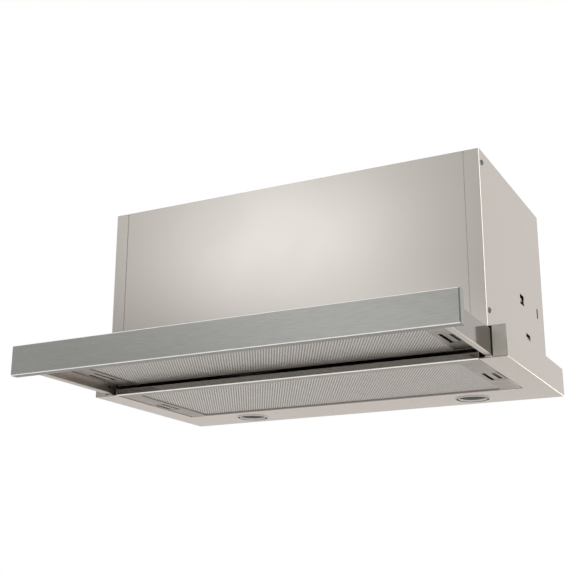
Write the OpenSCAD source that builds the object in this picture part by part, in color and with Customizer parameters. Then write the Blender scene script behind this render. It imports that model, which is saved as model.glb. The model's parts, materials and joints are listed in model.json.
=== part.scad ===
/* [Housing] */
// Width of the low base that the front panel covers
base_w = 596; // [590:1:620]
// Depth of the housing from its front edge to the wall
hood_d = 284; // [280:1:310]
// Height of the low base
base_h = 40; // [40:0.5:46]
// How far the fan box stands in from the base's sides
box_inset = 22; // [20:0.5:28]
// Height from the underside to the top of the fan box
hood_h = 270; // [268:1:320]
// Thickness of the folded sheet steel
sheet_t = 1; // [0.8:0.05:1.1]
// Outer radius of the bends in the sheet
bend_r = 1.5; // [1.2:0.1:2]
// Width of the side panels' return on the front
return_w = 20; // [16:1:26]
// Width of the flange that a side panel stands on
foot_w = 12; // [8:1:14]
// How far the front cover's side returns run back
cover_return_d = 22; // [18:1:30]

/* [Filter opening] */
// Width of a rail, from the opening to the base's side
rail_w = 36; // [34:0.5:39]
// Depth of the strip behind the opening, which holds the lamps
rear_strip_d = 85; // [80:1:94]
// Height of the upstands round the opening
upstand_h = 10; // [7:0.5:12]
// Depth of the front crossbar
crossbar_d = 3; // [2.6:0.1:4]
// Height of the front crossbar
crossbar_h = 9; // [6:0.5:11]

/* [Rail ends and runners] */
// Width of the plastic cap that closes a rail's end
cap_w = 17; // [15:0.5:17]
// How far a cap plugs into its rail
cap_d = 12; // [8:1:16]
// Wall of the plastic pieces
plastic_t = 1.5; // [1.2:0.1:2]
// Height of the runner channel
channel_h = 23; // [18:1:26]
// Depth of the runner channel across its flanges
channel_w = 14; // [12:0.5:14.5]
// Height of the channel's two turned lips
channel_lip = 4; // [3:0.5:6]
// Length of the sliding shoe in the channel
shoe_l = 40; // [30:1:60]
// Length of a glide pad under the tray
pad_l = 12; // [8:1:20]

/* [Pull-out tray] */
// Travel of the tray, from shut to fully out
travel = 164; // [120:1:164]
// Gap left between the shut front panel and the base
closed_gap = 0.2; // [0.2:0.1:1]
// Gap between a side profile and the end cap beside it
tray_gap = 1; // [0.6:0.1:1.5]
// Width of one side profile
profile_w = 9; // [7:0.5:11]
// Gap between the tray's top and the top of the base
top_gap = 4; // [3:0.1:5]
// Height of the tray's underside above the base's underside
tray_z = 3; // [3:0.1:4]
// Space kept behind the shut tray for its switch
tray_rear_gap = 20; // [19:0.5:30]
// Height of the tray filter's underside above the base's underside
shelf_z = 14.5; // [13:0.5:16]
// Depth of the strip between the front panel and the tray filter
strip_d = 40; // [36:1:50]
// How far the open tray's rear edge stays behind the base's front edge
tray_stay = 8.8; // [8:0.2:12]
// Depth of the rear rail of the tray
rear_rail_d = 4; // [3:0.5:6]
// Height of the rear rail of the tray
rear_rail_h = 12.5; // [10:0.5:14]

/* [Front panel] */
// How far the front panel reaches past the base on each side
panel_side_lap = 1; // [0:0.1:2]
// How far the panel's top stays under the top of the base
panel_top_gap = 2.6; // [2:0.1:4]
// Thickness of the folded front panel
panel_t = 14; // [10:0.5:18]
// How far the front panel hangs below the base
panel_drop = 1.8; // [1:0.1:3]
// Height of the lips on the back of the panel
panel_lip = 12; // [10:0.5:14]

/* [Filters] */
// Thickness of a filter cassette
filter_h = 9; // [8.5:0.5:10]
// Gap round a filter in its opening
filter_gap = 0.5; // [0.3:0.1:1]
// Width of the solid plate at each end of a filter
end_plate_w = 27.5; // [26:0.5:32]
// Depth of the frame in front of the mesh
front_border = 12; // [8:0.5:14]
// Depth of the frame behind the mesh
rear_border = 3; // [2.5:0.5:6]
// How far the mesh lies above the filter's underside
mesh_rise = 2.5; // [2:0.1:3]
// Thickness of the mesh sheet
mesh_t = 0.8; // [0.5:0.1:1]
// Diamonds along the width of a mesh
mesh_columns = 30; // [10:1:34]
// Diamonds along the depth of the base mesh
base_mesh_rows = 9; // [4:1:10]
// Diamonds along the depth of the tray mesh
tray_mesh_rows = 6; // [3:1:8]
// Strand between two diamonds
strand_w = 3; // [2:0.1:4]
// Pitch of the folds in the filter's core
fold_pitch = 12; // [10:1:20]
// Thickness of the folded foil in the core
foil_t = 0.6; // [0.5:0.1:0.8]

/* [Filter latches] */
// Length of a latch plate
latch_l = 45; // [36:1:50]
// Width of a latch plate
latch_w = 16; // [14:0.5:18]
// Thickness of a latch plate
latch_t = 3; // [2.8:0.1:3.2]
// Travel of a latch
latch_travel = 3; // [2.6:0.1:3.4]
// How far a latch tongue reaches over its rail
tongue_reach = 2.3; // [1.5:0.1:2.4]
// Width of a latch tongue
tongue_w = 20; // [12:1:30]
// Place of the base latches behind the front edge
base_latch_y = 106.5; // [60:0.5:130]
// Place of the tray latches behind the tray filter's front edge
tray_latch_y = 67.5; // [45:0.5:80]

/* [Lamps] */
// Distance of each lamp from the base's side
lamp_inset = 120; // [100:1:150]
// Distance of the lamps from the wall
lamp_back = 40; // [36:1:44]
// Radius of the lamp bezel
lamp_r = 25; // [20:0.5:26]
// Radius of the lens in the bezel
lens_r = 19.2; // [14:0.1:19.4]
// Height of the lamp's body over the base sheet
lamp_h = 26; // [22:1:30]

/* [Duct] */
// Distance of the duct's axis from the wall
duct_back = 99; // [96:1:104]
// Outer radius of the duct collar
collar_r = 75; // [74:0.5:76]
// Height of the duct collar
collar_h = 45; // [35:1:50]
// Wall of the duct collar
collar_t = 2; // [1.5:0.1:2.5]
// Width of the collar's flange
collar_flange_w = 17; // [15:1:20]
// How far the hole in the top panel stays inside the collar
throat_inset = 11; // [10:0.5:14]
// Radius of a damper pin
damper_pin_r = 1.5; // [1.2:0.1:2]
// Distance of each damper pin from the duct's axis
damper_pin_y = 4; // [3.8:0.1:6]
// Height of the damper pins over the top panel
damper_pin_z = 8; // [7:0.5:12]

/* [Shelf screws] */
// Hole distance across the hood
shelf_pitch_x = 480; // [440:1:500]
// Hole distance from front to back
shelf_pitch_y = 140; // [100:1:150]
// Radius of a shelf screw hole
shelf_hole_r = 2.75; // [2:0.25:3.5]

/* [Blower] */
// Radius of the fan wheel
wheel_r = 62; // [56:0.5:64]
// Depth of the blades from their inner to their outer edge
blade_d = 10; // [9:0.5:12]
// Gap between the wheel's end and the inlet's rim
wheel_end_gap = 3; // [2:0.5:8]
// Number of blades round the wheel
blade_count = 34; // [20:1:40]
// Thickness of a blade
blade_t = 0.8; // [0.6:0.1:1]
// Radius of a blade's curve
blade_curve_r = 12; // [11:0.5:16]
// Gap between the wheel and the narrowest part of the scroll
scroll_gap = 14; // [12:0.5:16]
// Growth of the scroll in each quarter turn
scroll_step = 10; // [8:0.5:11]
// Width of the scroll housing
scroll_w = 160; // [156:1:170]
// How far the scroll's outlet reaches past the hole in the top panel
outlet_lap = 1; // [0.5:0.5:3]
// Gap between the scroll and the top of the base
scroll_floor_gap = 1.5; // [1:0.5:4]
// How far an inlet's edge lies outside the blades' inner edge
inlet_lap = 2; // [1:0.5:3]
// Radius of the motor
motor_r = 42; // [36:0.5:44]
// Radius of the motor shaft
shaft_r = 4; // [3:0.5:5]

/* [Side windows] */
// Height of the upper windows over the base's underside
window_z = 107; // [90:1:140]
// Height of the upper windows
window_h = 14; // [8:1:20]
// Height of the lower window over the base's underside
low_window_z = 63; // [55:1:80]
// Height of the lower window
low_window_h = 8; // [6:1:12]

/* [Hidden] */
$fn = 96;

// Small sizes that go with the pieces above
cut = 5;
screw_gap = 0.1;
slide_gap = 0.3;
press_gap = 0.05;
screw_r = 2;
screw_head_r = 3.6;
screw_head_h = 1.8;
screw_l = 6;
cross_w = 0.9;
cross_h = 0.9;
seam_gap = 0.4;
side_screw_y = 10.6;
side_screw_rise = 21;
side_screw_drop = 16;
foot_screw_shares = [0.1, 0.5, 0.9];
panel_screw_shares = [-0.8, -0.3, 0.3, 0.8];
window_d = 19;
window_back = 106;
rear_window_d = 6;
rear_window_back = 32;
low_window_d = 21;
low_window_back = 83;
tab_l = 9;
top_flange_h = 15;
seat_w = 4;
seat_t = 2;
flap_t = 1.5;
flap_gap = 2;
knuckle_r = 3;
knuckle_end = 10;
seat_break = 18;
flange_t = 2;
scroll_t = 1.5;
seam_rim = 4;
seam_t = 3;
bell_d = 5;
wheel_ring_h = 3;
wheel_ring_t = 2;
wheel_disc_t = 2;
wheel_boss_r = 9;
wheel_boss_l = 18;
wheel_gap = 12;
motor_boss_r = 9;
motor_boss_l = 3;
bracket_t = 2;
bracket_arm_w = 14;
bracket_lap = 14;
bracket_screw_inset = 6;
motor_hub_r = 30;
vent_r = 3;
vent_inset = 8;
vent_count = 12;
capacitor_r = 15;
capacitor_l = 60;
capacitor_out = 60;
capacitor_ahead = 75;
stud_r = 4;
stud_l = 10;
nut_r = 7.5;
nut_t = 5;
junction_w = 80;
junction_d = 60;
junction_h = 44;
junction_inset = 131;
junction_back = 39;
junction_lid_t = 2;
gland_r = 9;
gland_hole_r = 8;
gland_bore_r = 4;
gland_h = 14;
gland_nut_r = 12;
nut_flats = 6;
bezel_drop = 1.2;
bezel_tube_h = 12;
bezel_ledge_w = 1.8;
bezel_ledge_z = 0.6;
lens_t = 2;
channel_inset = 3;
switch_l = 14;
plunger_r = 1.5;
plunger_l = 5;
plunger_travel = 1.5;
plunger_reach = 3;
control_out = 82;
control_w = 60;
control_d = 24;
control_h = 12;
control_lip = 0.8;
control_inset = 8;
knob_w = 8;
knob_d = 6;
knob_h = 2.2;
stem_w = 3;
speed_travel = 12;
light_travel = 6;
slider_pitch = 10;
wing_l = 4;
latch_end_gap = 1.2;
latch_cover_t = 1;
recess_w = 8;
recess_l = 30;
recess_t = 1.4;
recess_inset = 3;
filter_flange_w = 8;
mesh_lap = 3;
core_inset = 1;
drain_l = 6;
drain_r = 1.4;
drain_ahead = 6;
lamp_rib_shares = [-0.6, -0.3, 0, 0.3, 0.6];

// Places worked out from the sizes above
half_base = base_w / 2;
half_box = half_base - box_inset;
half_open = half_base - rail_w;
box_d = hood_d - sheet_t;
opening_d = hood_d - rear_strip_d;
cap_out = half_base - sheet_t;
cap_in = cap_out - cap_w;
channel_in = cap_out - channel_w;
channel_z = (base_h - channel_h) / 2;
panel_back = -travel - closed_gap;
panel_high = base_h - panel_top_gap;
profile_out = cap_in - tray_gap;
profile_in = profile_out - profile_w;
profile_end = panel_back + hood_d - tray_rear_gap;
profile_top = base_h - top_gap;
rear_rail_y = tray_stay - rear_rail_d;
tray_filter_y = panel_back + strip_d + slide_gap;
tray_filter_d = rear_rail_y - slide_gap - tray_filter_y;
base_filter_y = crossbar_d + slide_gap;
base_filter_d = opening_d - filter_gap - base_filter_y;
half_filter = half_open - filter_gap;
half_mesh = half_filter - end_plate_w;
latch_out = half_filter - sheet_t - slide_gap;
latch_in = latch_out - latch_w;
tongue_out = half_open + tongue_reach;
tongue_z = sheet_t + slide_gap;
lamp_x = half_base - lamp_inset;
lamp_y = hood_d - lamp_back;
window_y = [hood_d - window_back - window_d, hood_d - window_back];
rear_window_y = [hood_d - rear_window_back - rear_window_d, hood_d - rear_window_back];
low_window_y = [hood_d - low_window_back - low_window_d, hood_d - low_window_back];
duct_y = hood_d - duct_back;
collar_flange_r = collar_r + collar_flange_w;
throat_r = collar_r - throat_inset;
wheel_in_r = wheel_r - blade_d;
wheel_l = scroll_w - (bell_d + wheel_end_gap) * 2;
inlet_r = wheel_in_r + inlet_lap;
scroll_r = wheel_r + scroll_gap;
outlet_d = (throat_r + outlet_lap) * 2;
axle_y = duct_y + outlet_d / 2 - scroll_step * 5 / 2 - scroll_r;
axle_z = base_h + scroll_floor_gap + seam_rim + scroll_t + scroll_step * 3 / 2 + scroll_r;
bracket_reach = inlet_r + bracket_lap;
motor_in = -wheel_gap;
capacitor_x = -scroll_w / 2 - capacitor_out;
capacitor_y = duct_y - capacitor_ahead;
junction_x = -half_box + junction_inset;
junction_y = hood_d - junction_back;
switch_h = channel_h - channel_lip * 2;
switch_z = (base_h - switch_h) / 2;
plunger_y = profile_end + travel + slide_gap;
switch_y = plunger_y + plunger_reach;
control_x = half_open - control_out;
control_y = panel_back + control_inset;

// Moves the hood so that its origin lies on the duct's axis, in the top panel's face
module in_frame() {
    translate([0, -duct_y, -hood_h]) children();
}

// A block given by its lowest and highest place along each axis
module bar(x, y, z) {
    translate([x[0], y[0], z[0]])
        cube([x[1] - x[0], y[1] - y[0], z[1] - z[0]]);
}

// Draws its child on the right, and mirrored on the left
module both_sides() {
    children();
    mirror([1, 0, 0]) children();
}

// Extrudes an outline of Y and Z places along X
module along_x(x) {
    translate([x[0], 0, 0])
        rotate([90, 0, 90])
            linear_extrude(x[1] - x[0]) children();
}

// Extrudes an outline of X and Z places along Y
module along_y(y) {
    translate([0, y[1], 0])
        rotate([90, 0, 0])
            linear_extrude(y[1] - y[0]) children();
}

// What a bend takes off a square corner at the origin that points right and up
module bend_off() {
    translate([-bend_r, -bend_r]) difference() {
        square(bend_r + cut);
        circle(r = bend_r);
    }
}

// A round bar along X
module rod_x(x, r) {
    translate([x[0], 0, 0]) rotate([0, 90, 0]) cylinder(r = r, h = x[1] - x[0]);
}

// A pan-head screw that points down, with its head's seat at zero
module screw(length) {
    translate([0, 0, -length]) cylinder(r = screw_r, h = length);
    difference() {
        intersection() {
            cylinder(r = screw_head_r, h = screw_head_h);
            translate([0, 0, screw_head_h - screw_head_r * 2])
                sphere(r = screw_head_r * 2);
        }
        for (turn = [0, 90])
            rotate(turn)
                translate([-screw_head_r / 2, -cross_w / 2, screw_head_h - cross_h])
                    cube([screw_head_r, cross_w, cross_h + cut]);
    }
}

// The hole that a screw passes through
module screw_hole(depth) {
    translate([0, 0, -depth / 2]) cylinder(r = screw_r + screw_gap, h = depth);
}

// Low base: bottom sheet, outer walls, ledges for the fan box and upstands round the filter opening
module base_housing() {
    color("#c4beb7") in_frame() difference() {
        union() {
            bar([-half_base, half_base], [0, hood_d], [0, sheet_t]);
            bar([-half_base, half_base], [hood_d - sheet_t, hood_d], [0, base_h]);
            both_sides() {
                bar([half_base - sheet_t, half_base], [0, hood_d], [0, base_h]);
                bar([half_box - foot_w, half_base], [0, hood_d], [base_h - sheet_t, base_h]);
            }
            bar([-half_open - sheet_t, half_open + sheet_t], [0, opening_d + sheet_t], [0, upstand_h]);
        }
        bar([-half_open, half_open], [-cut, opening_d], [-cut, upstand_h + cut]);
        both_sides()
            bar([half_open - cut, half_open + sheet_t + cut],
                [base_latch_y - tongue_w, base_latch_y + tongue_w], [sheet_t, upstand_h + cut]);
        both_sides() {
            translate([lamp_x, lamp_y, -cut]) cylinder(r = lens_r + plastic_t + screw_gap, h = cut * 2);
            along_y([-cut, hood_d + cut]) {
                translate([half_base, 0]) mirror([0, 1]) bend_off();
                translate([half_base, base_h]) bend_off();
            }
        }
        along_x([-half_base - cut, half_base + cut])
            translate([hood_d, 0]) mirror([0, 1]) bend_off();
        foot_screw_places() screw_hole(cut);
    }
}

// Places of the screws that hold the fan box on the base's ledges
module foot_screw_places() {
    for (share = foot_screw_shares)
        both_sides()
            translate([half_box - foot_w / 2, share * box_d, base_h + sheet_t]) children();
}

// Folded channel that closes the front between the two rails
module front_crossbar() {
    color("#625f5a") in_frame() difference() {
        bar([-half_open, half_open], [0, crossbar_d], [0, crossbar_h]);
        along_x([-half_open - cut, half_open + cut]) {
            translate([sheet_t, sheet_t]) square([crossbar_d + cut, crossbar_h - sheet_t * 2]);
            mirror([1, 1]) bend_off();
            translate([0, crossbar_h]) mirror([1, 0]) bend_off();
        }
    }
}

// Plastic plug in the front end of a rail
module right_end_cap() {
    color("#969489") in_frame() difference() {
        bar([cap_in, cap_out], [0, cap_d], [sheet_t, base_h - sheet_t]);
        bar([cap_in + plastic_t, cap_out - plastic_t], [plastic_t * 2, cap_d + cut],
            [sheet_t + plastic_t, base_h - sheet_t - plastic_t]);
        along_y([-cut, cap_d + cut]) {
            translate([cap_out, base_h - sheet_t]) bend_off();
            translate([cap_out, sheet_t]) mirror([0, 1]) bend_off();
        }
    }
}

module left_end_cap() {
    mirror([1, 0, 0]) right_end_cap();
}

// Channel that the tray's shoe slides in, fixed to the rail's outer wall
module right_runner_channel() {
    front = cap_d + channel_inset;
    color("#9c9c9a") in_frame() difference() {
        bar([channel_in, cap_out], [front, box_d], [channel_z, channel_z + channel_h]);
        bar([channel_in + sheet_t, cap_out - sheet_t], [front - cut, box_d + cut],
            [channel_z + sheet_t, channel_z + channel_h - sheet_t]);
        bar([channel_in - cut, channel_in + cut / 2], [front - cut, box_d + cut],
            [channel_z + channel_lip, channel_z + channel_h - channel_lip]);
    }
}

module left_runner_channel() {
    mirror([1, 0, 0]) right_runner_channel();
}

// Low friction pads that the tray's profiles ride on
module glide_pads() {
    color("#e6e3dc") in_frame() both_sides()
        bar([profile_in, profile_out], [sheet_t, sheet_t + pad_l], [sheet_t, tray_z - slide_gap]);
}

// Front sheet of the fan box, stepped behind the side panels' returns
module front_cover() {
    front_edge = half_box - return_w - seam_gap;
    low = base_h + sheet_t;
    high = hood_h - sheet_t * 2;
    color("#b4aca5") in_frame() difference() {
        union() {
            bar([-front_edge, front_edge], [0, sheet_t], [base_h, hood_h]);
            both_sides() {
                bar([front_edge - foot_w / 2, half_box - sheet_t], [sheet_t, sheet_t * 2], [low, high]);
                bar([half_box - sheet_t * 2, half_box - sheet_t], [sheet_t, cover_return_d], [low, high]);
            }
        }
        side_screw_places() screw_hole(cut * 2);
    }
}

// Places of the screws through the side panels into the front cover's returns
module side_screw_places() {
    for (z = [base_h + side_screw_rise, hood_h - side_screw_drop])
        both_sides()
            translate([half_box, side_screw_y, z]) rotate([0, 90, 0]) children();
}

// Side sheet of the fan box with its front return, foot, rear return, bracket windows and their tabs
module right_side_panel() {
    inner = half_box - sheet_t - cut;
    outer = half_box + cut;
    color("#c5beb7") in_frame() difference() {
        union() {
            bar([half_box - sheet_t, half_box], [0, box_d], [base_h, hood_h]);
            bar([half_box - return_w, half_box], [0, sheet_t], [base_h, hood_h]);
            bar([half_box - foot_w, half_box], [cover_return_d + sheet_t, box_d],
                [base_h, base_h + sheet_t]);
            bar([half_box - foot_w, half_box], [box_d - sheet_t, box_d], [base_h, hood_h - sheet_t]);
            window_tab(low_window_y, low_window_z, low_window_h);
            window_tab(rear_window_y, window_z, window_h);
        }
        bar([inner, outer], window_y, [window_z, window_z + window_h]);
        bar([inner, outer], rear_window_y, [window_z, window_z + window_h]);
        bar([inner, outer], low_window_y, [low_window_z, low_window_z + low_window_h]);
        side_screw_places() screw_hole(cut);
        foot_screw_places() screw_hole(cut);
        translate([0, 0, base_h - cut]) linear_extrude(hood_h + cut * 2) {
            translate([half_box, 0]) mirror([0, 1]) bend_off();
            translate([half_box, box_d]) bend_off();
        }
        along_y([cover_return_d + sheet_t, box_d + cut])
            translate([half_box, base_h]) mirror([0, 1]) bend_off();
    }
}

// Tab that was bent inwards along the rear edge of a window
module window_tab(y, z, height) {
    bar([half_box - sheet_t - tab_l, half_box], [y[1], y[1] + sheet_t], [z, z + height]);
}

module left_side_panel() {
    mirror([1, 0, 0]) right_side_panel();
}

// Rear sheet of the fan box, which stands against the wall
module back_panel() {
    color("#bcb6af") in_frame()
        bar([-half_box, half_box], [box_d, hood_d], [base_h, hood_h]);
}

// Top sheet, which hangs from the cabinet's shelf and carries the blower and the duct collar
module top_panel() {
    edge = half_box - sheet_t;
    color("#bcb6af") in_frame() difference() {
        union() {
            bar([-edge, edge], [sheet_t, box_d], [hood_h - sheet_t, hood_h]);
            both_sides()
                bar([edge - sheet_t, edge], [cover_return_d + sheet_t, box_d - sheet_t],
                    [hood_h - top_flange_h, hood_h]);
        }
        both_sides()
            along_y([0, box_d]) translate([edge, hood_h]) bend_off();
        translate([0, duct_y, hood_h - sheet_t - cut]) cylinder(r = throat_r, h = cut * 2);
        for (side_x = [-1, 1])
            for (side_y = [-1, 1])
                translate([side_x * shelf_pitch_x / 2, duct_y + side_y * shelf_pitch_y / 2, hood_h - cut])
                    cylinder(r = shelf_hole_r, h = cut * 2);
        translate([junction_x, junction_y, hood_h - cut]) cylinder(r = gland_hole_r, h = cut * 2);
        translate([capacitor_x, capacitor_y, hood_h - cut])
            cylinder(r = stud_r + screw_gap, h = cut * 2);
        collar_screw_places() screw_hole(cut * 2);
    }
}

// Places of the screws that hold the collar on the top panel
module collar_screw_places() {
    for (turn = [45:90:315])
        translate([0, duct_y, hood_h + flange_t])
            rotate(turn)
                translate([(collar_r + collar_flange_r) / 2, 0, 0]) children();
}

module side_screws() {
    color("#8c8c8a") in_frame() side_screw_places() screw(screw_l);
}

module foot_screws() {
    color("#8c8c8a") in_frame() foot_screw_places() screw(screw_l / 2);
}

module collar_screws() {
    color("#8c8c8a") in_frame() collar_screw_places() screw(screw_l);
}

// Spigot for the duct, with a flange on the top panel and a broken seat ring under the flaps
module duct_collar() {
    pin_z = hood_h + damper_pin_z;
    color("#3c3d3f") in_frame() translate([0, duct_y, 0]) difference() {
        union() {
            translate([0, 0, hood_h]) difference() {
                cylinder(r = collar_flange_r, h = flange_t);
                translate([0, 0, -cut]) cylinder(r = collar_r - collar_t, h = flange_t + cut * 2);
            }
            translate([0, 0, hood_h]) difference() {
                cylinder(r = collar_r, h = collar_h);
                translate([0, 0, -cut]) cylinder(r = collar_r - collar_t, h = collar_h + cut * 2);
            }
            difference() {
                translate([0, 0, pin_z - flap_t / 2 - slide_gap - seat_t])
                    cylinder(r = collar_r - collar_t / 2, h = seat_t);
                translate([0, 0, hood_h - cut])
                    cylinder(r = collar_r - collar_t - seat_w, h = damper_pin_z + cut);
                bar([-collar_r, collar_r], [-seat_break / 2, seat_break / 2], [hood_h, pin_z]);
            }
        }
        for (side = [-1, 1])
            translate([0, side * damper_pin_y, pin_z])
                rod_x([-collar_r - cut, collar_r + cut], damper_pin_r + press_gap);
        translate([0, -duct_y, 0]) collar_screw_places() screw_hole(cut * 2);
    }
}

// Two pins that the damper flaps turn on
module damper_pins() {
    color("#a8a9ab") in_frame()
        for (side = [-1, 1])
            translate([0, duct_y + side * damper_pin_y, hood_h + damper_pin_z])
                rod_x([-collar_r + collar_t / 4, collar_r - collar_t / 4], damper_pin_r);
}

// Half disc with a knuckle along its straight edge
module rear_damper_flap() {
    flap_r = collar_r - collar_t - flap_gap;
    color("#4a4b4d") in_frame() translate([0, duct_y, hood_h + damper_pin_z]) difference() {
        union() {
            translate([0, 0, -flap_t / 2]) linear_extrude(flap_t) intersection() {
                circle(r = flap_r);
                translate([-flap_r, damper_pin_y]) square([flap_r * 2, flap_r]);
            }
            translate([0, damper_pin_y, 0])
                rod_x([-flap_r + knuckle_end, flap_r - knuckle_end], knuckle_r);
        }
        translate([0, damper_pin_y, 0])
            rod_x([-collar_r, collar_r], damper_pin_r + press_gap);
    }
}

module front_damper_flap() {
    mirror([0, 1, 0]) rear_damper_flap();
}

// Quarter of a disc, turned into its place round the scroll
module quarter(r, turn) {
    rotate(turn) intersection() {
        circle(r = r);
        square(r);
    }
}

// Scroll outline about the axle in Y and Z, grown by a wall and lengthened at the outlet
module scroll_outline(grow, rise) {
    half = scroll_step / 2;
    wide = scroll_r + scroll_step * 2 + grow;
    top = hood_h - sheet_t - axle_z + rise;
    outlet_front = half + scroll_r + scroll_step * 2 - outlet_d - grow;
    translate([-half, -half]) quarter(scroll_r + grow, 90);
    translate([half, -half]) quarter(scroll_r + scroll_step + grow, 180);
    translate([half, half]) quarter(wide, 270);
    translate([half, half]) square([wide, top - half]);
    translate([outlet_front, -half]) square([half - outlet_front, top + half]);
}

// Half of the scroll housing, with its rounded inlet and a rim at the seam
module right_scroll_half() {
    color("#5b5d60") in_frame() translate([0, axle_y, axle_z]) difference() {
        union() {
            difference() {
                union() {
                    along_x([0, scroll_w / 2]) scroll_outline(scroll_t, 0);
                    along_x([0, seam_t]) scroll_outline(scroll_t + seam_rim, 0);
                }
                along_x([-cut, scroll_w / 2 - scroll_t]) scroll_outline(0, cut);
            }
            rod_x([scroll_w / 2 - bell_d, scroll_w / 2 - scroll_t / 2], inlet_r + plastic_t);
        }
        rod_x([0, scroll_w / 2 + cut], inlet_r);
        bracket_screw_places(1) screw_hole(cut * 2);
    }
}

module left_scroll_half() {
    mirror([1, 0, 0]) right_scroll_half();
}

// Places of the motor bracket's screws on a scroll side, one to each arm
module bracket_screw_places(side) {
    for (turn = [90, 210, 330])
        rotate([turn, 0, 0])
            translate([side * (scroll_w / 2 + bracket_t), 0, bracket_reach - bracket_screw_inset])
                rotate([0, 90 * side, 0]) children();
}

// Capacitor motor in the left inlet, inside the fan wheel
module fan_motor() {
    back = -scroll_w / 2;
    front = motor_in - motor_boss_l;
    color("#8d8f92") in_frame() translate([0, axle_y, axle_z]) difference() {
        union() {
            rod_x([back, front], motor_r - plastic_t);
            rod_x([back + bell_d, front - bell_d], motor_r);
            rod_x([front, motor_in], motor_boss_r);
        }
        for (turn = [0:360 / vent_count:359])
            rotate([turn, 0, 0])
                translate([0, 0, motor_r - vent_inset]) rod_x([front - bell_d / 2, front + cut], vent_r);
        rod_x([front - motor_boss_l, motor_in + cut], shaft_r + press_gap);
    }
}

// Three-armed steel bracket that carries the motor on the left scroll half
module motor_bracket() {
    color("#a9aaac") in_frame() translate([0, axle_y, axle_z]) difference() {
        union() {
            rod_x([-scroll_w / 2 - bracket_t, -scroll_w / 2], motor_hub_r);
            for (turn = [90, 210, 330])
                rotate([turn, 0, 0])
                    bar([-scroll_w / 2 - bracket_t, -scroll_w / 2],
                        [-bracket_arm_w / 2, bracket_arm_w / 2], [0, bracket_reach]);
        }
        rod_x([-scroll_w / 2 - bracket_t - cut, -scroll_w / 2 + cut], wheel_boss_r);
        bracket_screw_places(-1) screw_hole(cut * 2);
    }
}

module bracket_screws() {
    color("#8c8c8a") in_frame() translate([0, axle_y, axle_z]) bracket_screw_places(-1) screw(screw_l);
}

// Shaft that the fan wheel is pressed on
module motor_shaft() {
    color("#b9babd") in_frame() translate([0, axle_y, axle_z])
        rod_x([motor_in - motor_boss_l, motor_in + wheel_gap / 2 + wheel_boss_l], shaft_r);
}

// One forward-curved blade, from the inner to the outer radius
module blade_outline() {
    intersection() {
        difference() {
            circle(r = wheel_r - wheel_ring_t / 2);
            circle(r = wheel_in_r);
        }
        translate([wheel_in_r, -blade_curve_r]) difference() {
            circle(r = blade_curve_r + blade_t / 2);
            circle(r = blade_curve_r - blade_t / 2);
        }
        translate([wheel_in_r - blade_t, -blade_curve_r]) square(blade_curve_r * 2);
    }
}

// Double-inlet fan wheel: blades between two end rings, on a disc with a boss
module fan_wheel() {
    half = wheel_l / 2;
    disc_x = motor_in + wheel_gap / 2;
    color("#46484b") in_frame() translate([0, axle_y, axle_z]) difference() {
        union() {
            along_x([-half, half])
                for (turn = [0:360 / blade_count:359])
                    rotate(turn) blade_outline();
            for (side = [-1, 1])
                difference() {
                    rod_x([side * half - wheel_ring_h * (1 + side) / 2,
                           side * half + wheel_ring_h * (1 - side) / 2], wheel_r);
                    rod_x([-half - cut, half + cut], wheel_r - wheel_ring_t);
                }
            rod_x([disc_x, disc_x + wheel_disc_t], (wheel_r + wheel_in_r) / 2);
            rod_x([disc_x, disc_x + wheel_boss_l], wheel_boss_r);
        }
        rod_x([-half, half], shaft_r + press_gap);
    }
}

// Start and run capacitor that hangs by its stud, with the nut on top
module run_capacitor() {
    color("#d9d9d6") in_frame() translate([capacitor_x, capacitor_y, 0]) {
        translate([0, 0, hood_h - sheet_t - capacitor_l]) cylinder(r = capacitor_r, h = capacitor_l);
        translate([0, 0, hood_h - sheet_t - slide_gap]) cylinder(r = stud_r, h = stud_l);
        translate([0, 0, hood_h]) cylinder(r = nut_r, h = nut_t, $fn = nut_flats);
    }
}

// Wiring box under the top panel
module junction_box() {
    top = hood_h - sheet_t;
    color("#d8d5cf") in_frame() translate([junction_x, junction_y, 0]) difference() {
        bar([-junction_w / 2, junction_w / 2], [-junction_d / 2, junction_d / 2], [top - junction_h, top]);
        bar([-junction_w / 2 + plastic_t, junction_w / 2 - plastic_t],
            [-junction_d / 2 + plastic_t, junction_d / 2 - plastic_t],
            [top - junction_h - cut, top - plastic_t]);
        translate([0, 0, top - cut]) cylinder(r = gland_hole_r, h = cut * 2);
    }
}

module junction_lid() {
    low = hood_h - sheet_t - junction_h;
    inner_w = junction_w / 2 - plastic_t - press_gap;
    inner_d = junction_d / 2 - plastic_t - press_gap;
    color("#cfccc6") in_frame() translate([junction_x, junction_y, 0]) difference() {
        union() {
            bar([-junction_w / 2, junction_w / 2], [-junction_d / 2, junction_d / 2],
                [low - junction_lid_t, low]);
            bar([-inner_w, inner_w], [-inner_d, inner_d], [low, low + junction_lid_t]);
        }
        bar([-inner_w + plastic_t, inner_w - plastic_t], [-inner_d + plastic_t, inner_d - plastic_t],
            [low, low + cut]);
    }
}

// Gland through which the supply lead enters
module cable_gland() {
    color("#2e2f31") in_frame() translate([junction_x, junction_y, 0]) difference() {
        union() {
            translate([0, 0, hood_h - sheet_t - plastic_t])
                cylinder(r = gland_hole_r - press_gap, h = gland_h / 2);
            translate([0, 0, hood_h]) cylinder(r = gland_nut_r, h = gland_h / 2, $fn = nut_flats);
            translate([0, 0, hood_h + gland_h / 2])
                cylinder(r1 = gland_r, r2 = gland_hole_r, h = gland_h / 2);
        }
        translate([0, 0, hood_h - cut]) cylinder(r = gland_bore_r, h = gland_h + cut * 2);
    }
}

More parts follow.
